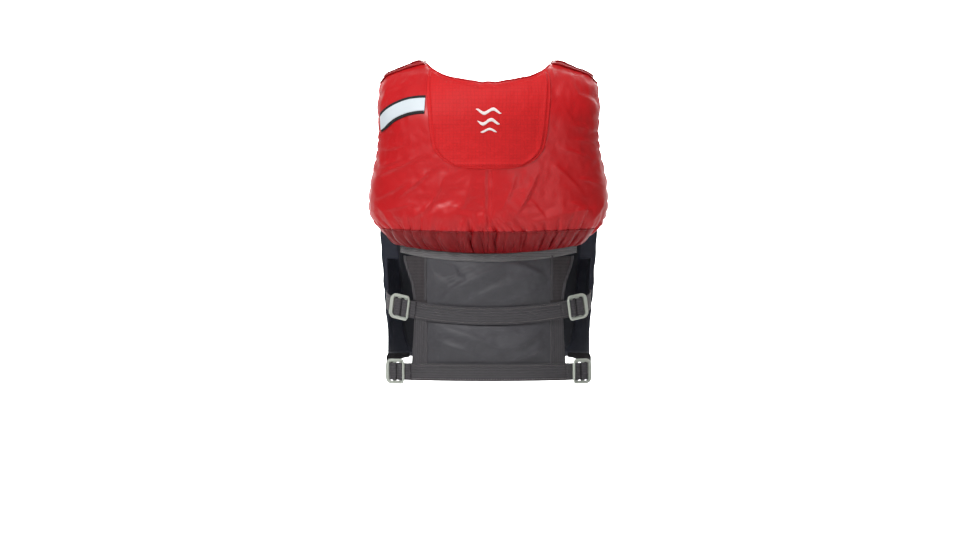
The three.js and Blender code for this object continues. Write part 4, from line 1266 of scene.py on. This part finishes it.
# ---- front panels ----
def front_panel(side, name):
    """One front: shell, lining, side panel, and the beads and stitches on its edges and colour seam."""
    body = f"front_{name}"
    u, w = cells(64, 118)
    v = lerp(FRONT_BOTTOM, FRONT_TOP, w)
    t = side * lerp(front_neck_edge(v), front_edge(v), u)

    def rim_shape(sides, edge, share):
        """Small ripples along every side of the gusset."""
        bell = math.sin(math.pi * share) ** 0.6
        along = [e[1] if s in (1, 3) else e[0] for s, e in zip(sides, edge)]
        return np.array([0.6 * bell * math.sin(a * 1000 / 3.4) for a in along])

    shell = layered(f"front_shell_{name}", 1, t, v, FOAM_START - 0.2, front_depth(t, v), rim_steps=8,
                    rim_bulge=2.4, near_slot=2, rim_shape=rim_shape)
    low_z = (COLOUR_SPLIT - SHOULDER_HEIGHT) / 1000
    polygons = shell.data.polygons
    polygons.foreach_set("material_index", [1 if p.center.z < low_z else p.material_index for p in polygons])
    finish_piece(shell, body, [RED_NYLON, NAVY, LINING],
                 [f"front_{name}_foam", f"front_{name}_shell_upper", f"front_{name}_shell_lower"])

    u, w = cells(24, 40)
    v = lerp(FRONT_BOTTOM + 1.5, FRONT_TOP - 1.5, w)
    t = side * lerp(front_neck_edge(v) + 1.0, front_edge(v) - 1.0, u)
    thin(f"front_liner_cloth_{name}", 1, t, v, 0.4, 1.1, body, LINING, [f"front_{name}_liner"])

    u, w = cells(24, 50)
    v = lerp(38.0, 180.0, w)
    t = side * lerp(front_edge(v) - 2, quarter(v) - 1, u)
    ripple = 0.5 * rumple(t / 22, v / 26, 51.0) * np.sin(math.pi * w)
    thin(f"side_panel_cloth_{name}", 1, t, v, 3.4 + ripple, 2.0, body, NAVY,
         [f"front_{name}_side_panel"])
    edge_v = np.linspace(40, 178, 80)
    stitch_on(f"side_panel_stitch_{name}", 1, side * (quarter(edge_v) - 4), edge_v, np.full(80, 5.9), body,
              "navy_shell", THREAD_DARK)

    w = np.linspace(0, 1, 140)
    v = lerp(FRONT_BOTTOM, FRONT_TOP, w)
    for label, t in (("centre", front_neck_edge(v)), ("arm", front_edge(v))):
        t = side * t
        for part, chosen, slot, material in (("low", v <= COLOUR_SPLIT, "navy_shell", NAVY),
                                             ("high", v >= COLOUR_SPLIT, "gusset_cloth", RED_PIPING)):
            bead = tube(f"front_{label}_bead_{name}_{part}",
                        put(1, t[chosen], v[chosen], front_depth(t[chosen], v[chosen]) - 0.3), 0.0014)
            finish_piece(bead, body, material)
    split = np.array(COLOUR_SPLIT)
    line = side * np.linspace(float(front_neck_edge(split)) + 1, float(front_edge(split)) - 1, 80)
    seam_v = np.full(80, COLOUR_SPLIT)
    bead = tube(f"front_seam_bead_{name}", put(1, line, seam_v, front_depth(line, seam_v) - 0.2), 0.0012)
    finish_piece(bead, body, NAVY)
    rows = (3.0, "red_shell", THREAD_RED), (-3.0, "navy_shell", THREAD_DARK)
    for k, (off, slot, thread) in enumerate(rows):
        v = seam_v + off
        stitch_on(f"front_seam_stitch_{name}_{k + 1}", 1, line, v, front_depth(line, v) + 0.1, body, slot,
                  thread)


def zipper(side, name):
    """The tape along one front edge and its row of teeth, half a pitch off those of the other side."""
    body = f"front_{name}"
    u, w = cells(2, 60)
    v = lerp(ZIP_BOTTOM, ZIP_TOP, w)
    t = side * lerp(0.6, 8.6, u)
    thin(f"zip_tape_{name}", 1, t, v, ZIP_DEPTH, 0.9, body, ZIP_TAPE,
         [f"front_{name}_zipper_tape"], along_v=True)
    teeth = bmesh.new()
    pitch = 2.6
    for k in range(int((ZIP_TOP - ZIP_BOTTOM - 2) / pitch)):
        v_at = ZIP_BOTTOM + 1.5 + pitch * (k + (0.5 if side > 0 else 0.0))
        matrix = seat(1, side * 1.5, v_at, ZIP_DEPTH + 1.3, True)
        bmesh.ops.create_cube(teeth, size=1.0, matrix=matrix @ Matrix.Translation((0, side * 0.2, 0.9))
                              @ Matrix.Diagonal((1.5, 2.6, 1.7, 1)))
    mesh = bpy.data.meshes.new(f"zip_teeth_{name}")
    teeth.to_mesh(mesh)
    teeth.free()
    obj = linked(f"zip_teeth_{name}", mesh)
    bevel = obj.modifiers.new("round", "BEVEL")
    bevel.width = 0.0003
    bevel.segments = 1
    apply_modifiers(obj)
    finish_piece(obj, body, COIL, [f"front_{name}_zipper_teeth"])


def slider_pieces():
    """The zipper's slider, with two cheeks that hold the pull tab."""
    matrix = seat(1, 0.001, ZIP_TOP - 10, ZIP_DEPTH + 3.7, True)
    plate = moulded_plate("slider_plate", [rounded_outline(-7, 7, 5.5, 4.2, 2.0)], 2.8, 0.7)
    cheeks = []
    for y in (-3.1, 3.1):
        cheek = moulded_plate(f"slider_cheek_{y}", [rounded_outline(0.5, 3.5, 0.7, 0.3, 0.3, 2)], 3.4, 0.25)
        cheek.data.transform(Matrix.Translation((0, y, 2.7)))
        cheeks.append(cheek)
    body = joined("zip_slider", [plate] + cheeks)
    finish_piece(soften(place(body, matrix)), "zipper_slider", ZIP_PLASTIC, ["zipper_slider"])
    hole = rounded_outline(-25.5, -21, 1.0, 0.9, 0.9, 3)
    pull = moulded_plate("zip_pull", [rounded_outline(-28, 3, 2.1, 1.4, 0.8, 4), hole], 1.6, 0.4)
    pull.data.transform(Matrix.Translation((0, 0, 3.6)))
    finish_piece(soften(place(pull, matrix)), "zipper_pull", ZIP_PLASTIC, ["zipper_pull"])


def pocket(side, name):
    """A padded pocket with its upright zip and a slider."""
    body = f"front_{name}"
    low, high, inner, outer = 78.0, 172.0, 26.0, 126.0
    u, w = cells(64, 60)
    v = lerp(low, high, w)
    near_end = np.minimum(v - low, high - v)
    corner = 13 * (1 - np.clip(near_end / 14, 0, 1)) ** 2.2
    t = side * lerp(inner + corner, outer - corner, u)
    border = np.minimum(near_end, np.minimum(np.abs(t) - inner, outer - np.abs(t)))
    full = 4.5 + 10.5 * np.sqrt(ease(-1, 15, border)) + 0.8 * rumple(t / 20, v / 20, 61.0)
    base = front_thick(t, v) + SHELL + 0.3
    piece = layered(f"pocket_body_{name}", 1, t, v, base, base + 1.6 + full, rim_steps=6, rim_bulge=1.0)
    finish_piece(piece, body, NAVY, [f"front_{name}_pocket"])
    run = np.linspace(low + 10, high - 10, 60)
    for k, edge in enumerate((inner + 2.5, outer - 2.5)):
        t_run = np.full(60, side * edge)
        stitch_on(f"pocket_stitch_{name}_{k + 1}", 1, t_run, run, front_thick(t_run, run) + SHELL + 8.0, body,
                  "navy_shell", THREAD_GREY)
    zip_t, middle = side * (inner + 24), (low + high) / 2
    face = float(front_thick(np.array(zip_t), np.array(middle))) + 2.8 + 15 + 1.2
    matrix = seat(1, zip_t, middle, face, True)
    length = high - low - 26
    end = length / 2
    tape = moulded_plate(f"pocket_zip_tape_{name}", [rounded_outline(-end, end, 4.5, 1.5, 1.5, 3)], 1.0, 0.3)
    coils = []
    for k in range(int(length / 2.0) - 2):
        x = -end + 2.5 + 2.0 * k
        coil = moulded_plate(f"pocket_coil_{k}", [rounded_outline(x, x + 1.2, 1.6, 0.4, 0.4, 1)], 0.7, 0.2)
        coil.data.transform(Matrix.Translation((0, 0, 0.7)))
        coils.append(coil)
    strip = joined(f"pocket_zip_strip_{name}", [tape] + coils)
    finish_piece(soften(place(strip, matrix)), body, COIL, [f"front_{name}_pocket_zip"])
    plate = moulded_plate(f"pocket_plate_{name}", [rounded_outline(end - 11.5, end - 0.5, 3.5, 2.2, 1.5, 4)],
                          2.6, 0.6)
    plate.data.transform(Matrix.Translation((0, 0, 1.6)))
    tab = moulded_plate(f"pocket_tab_{name}", [rounded_outline(end - 30, end - 6, 2.5, 2.0, 1.0, 4)], 1.4,
                        0.4)
    tab.data.transform(Matrix.Translation((0, 0, 3.9)))
    slider = joined(f"pocket_slider_body_{name}", [plate, tab])
    finish_piece(soften(place(slider, matrix)), f"pocket_slider_{name}", ZIP_PLASTIC,
                 [f"front_{name}_pocket_slider"])


def shoulder(side, name):
    """The pad over the shoulder, the cloth that joins it to the back, and its adjuster and webbing."""
    body = f"front_{name}"
    u, w = cells(36, 60)
    t_top = lerp(84.0, BACK_TOP_EDGE - 2, u)
    v_top = ROLL_START + roll(t_top)[3] * RIDGE_SHARE
    t_free = lerp(lerp(60.0, 121.0, u), t_top, ease(0, 0.8, w))
    v = np.minimum(lerp(FRONT_TOP - 6, v_top, w), ROLL_START + roll(t_free)[3] * RIDGE_SHARE)
    t = side * t_free
    border = np.minimum(u, 1 - u)
    high = 3.0 + 10.0 * np.sqrt(ease(-0.02, 0.2, border)) + 0.5 * rumple(t / 24, v / 24, 71.0)
    pad = layered(f"shoulder_pad_{name}", 1, t, v, 1.0, 1 + high, rim_steps=5, rim_bulge=1.0, near_slot=1)
    finish_piece(pad, body, [RED_NYLON, LINING], [f"front_{name}_shoulder_pad"])

    covers = ((0.74, 1.22, 88.0, BACK_TOP_EDGE - 1.5, 2.6, 0.4),
              (0.82, 1.20, 93.0, BACK_TOP_EDGE - 7.0, 2.2, 3.1))
    for layer, (low, high, inner, outer, thick, rise) in enumerate(covers):
        u, w = cells(40, 44)
        share = lerp(low, high, w)
        t = lerp(inner, outer, u)
        v = ROLL_START + roll(t)[3] * share
        on_back = back_depth(-t if side < 0 else t, np.minimum(v, back_top(t) - 1))
        base = lerp(on_back, 15.4, ease(0.93, 1.12, share)) + rise + 0.5 * rumple(t / 20, v / 20, 77.0 + side)
        cover = layered(f"shoulder_cover_{name}_{layer + 1}", -1, side * t, v, base, base + thick,
                        rim_steps=4, rim_bulge=0.5)
        # The covers take the darker red, painted shade on the shoulder tops.
        bending_piece(cover, "gusset_cloth", SHADED_SHOULDER_RED, ("back", body), (side * 0.12, -0.012, -0.01),
                      (side * 0.12, 0.016, -0.01))

    shell_top = float(front_thick(np.array(LOOP_SEAT), np.array(LOOP_HEIGHT + 6)))
    matrix = seat(1, side * LOOP_SEAT, LOOP_HEIGHT, shell_top + 2.8 + 2.4, True)
    buckle = f"shoulder_adjuster_{name}"
    adjuster(f"{buckle}_frame", matrix, buckle, buckle)
    loop(f"shoulder_sewn_loop_{name}", matrix, body, buckle, "webbing_black", WEB_BLACK)
    u, w = cells(8, 50)
    v = lerp(388.0, 462.0, w)
    t = side * (lerp(87.0, 112.0, ease(0, 1, w)) + (u - 0.5) * WEB)
    depth = lerp(24.5, 14.4, ease(0.0, 0.55, w))
    web = layered(f"shoulder_webbing_{name}", 1, t, v, depth, depth + 1.5, [v, t], rim_steps=3, rim_bulge=0.3)
    finish_piece(web, body, WEB_BLACK, [f"front_{name}_shoulder_web"])


# ---- room, light and camera ----
def studio():
    """A plain pale floor and backdrop, five soft lights and a weak even light all round."""
    room = plain_material("pale studio floor", (0.86, 0.86, 0.86, 1), 0.9)
    for name, points in (("floor", [(-6, -7, -1.0), (6, -7, -1.0), (6, 5, -1.0), (-6, 5, -1.0)]),
                         ("backdrop", [(-9, 5, -1.0), (9, 5, -1.0), (9, 5, 6), (-9, 5, 6)])):
        obj = new_mesh(name, points, [(0, 1, 2, 3)], smooth=False)
        obj.data.materials.append(room)
    world = bpy.data.worlds.new("soft studio")
    bpy.context.scene.world = world
    world.use_nodes = True
    sky = world.node_tree.nodes["Background"].inputs
    sky["Color"].default_value = (1.0, 1.0, 1.0, 1)
    sky["Strength"].default_value = 0.16

    def area(name, at, aim, size, power):
        light = bpy.data.lights.new(name, "AREA")
        light.shape = "RECTANGLE"
        light.size, light.size_y = size
        light.energy = power
        obj = linked(name, light)
        obj.location = at
        obj.rotation_euler = (Vector(aim) - Vector(at)).to_track_quat("-Z", "Y").to_euler()

    vest = (0, 0, -0.2)
    area("key light", (-1.6, -2.0, 1.6), vest, (0.6, 0.8), 84)
    area("fill light", (1.7, -2.8, 0.3), vest, (0.6, 1.0), 20)
    area("top light", (0.2, -0.6, 2.2), vest, (1.4, 1.0), 34)
    area("front light", (0.6, 3.0, 1.2), vest, (2.2, 1.4), 42)
    area("backdrop light", (0, 3.0, 1.8), (0, 5, 0.2), (4.5, 1.5), 520)


def plain_material(name, base, roughness):
    material = bpy.data.materials.new(name)
    material.use_nodes = True
    shader = material.node_tree.nodes["Principled BSDF"]
    shader.inputs["Base Color"].default_value = base
    shader.inputs["Roughness"].default_value = roughness
    return material


def set_camera():
    """A long lens straight behind the wearer, a little below the middle of the vest."""
    data = bpy.data.cameras.new("camera")
    data.lens = 101.6
    data.sensor_width = 36.0
    camera = linked("camera", data)
    camera.location = (0.0005, -4.12, -0.297)
    camera.rotation_euler = (math.pi / 2, 0, 0)
    bpy.context.scene.camera = camera
    bpy.context.scene.view_settings.view_transform = "Standard"


set_camera()
studio()
swell_panels()
back_panel()
yoke()
printed_mark()
reflector()
lower_back()
straps()
for side, name in ((-1, "left"), (1, "right")):
    front_panel(side, name)
    zipper(side, name)
    pocket(side, name)
    shoulder(side, name)
slider_pieces()
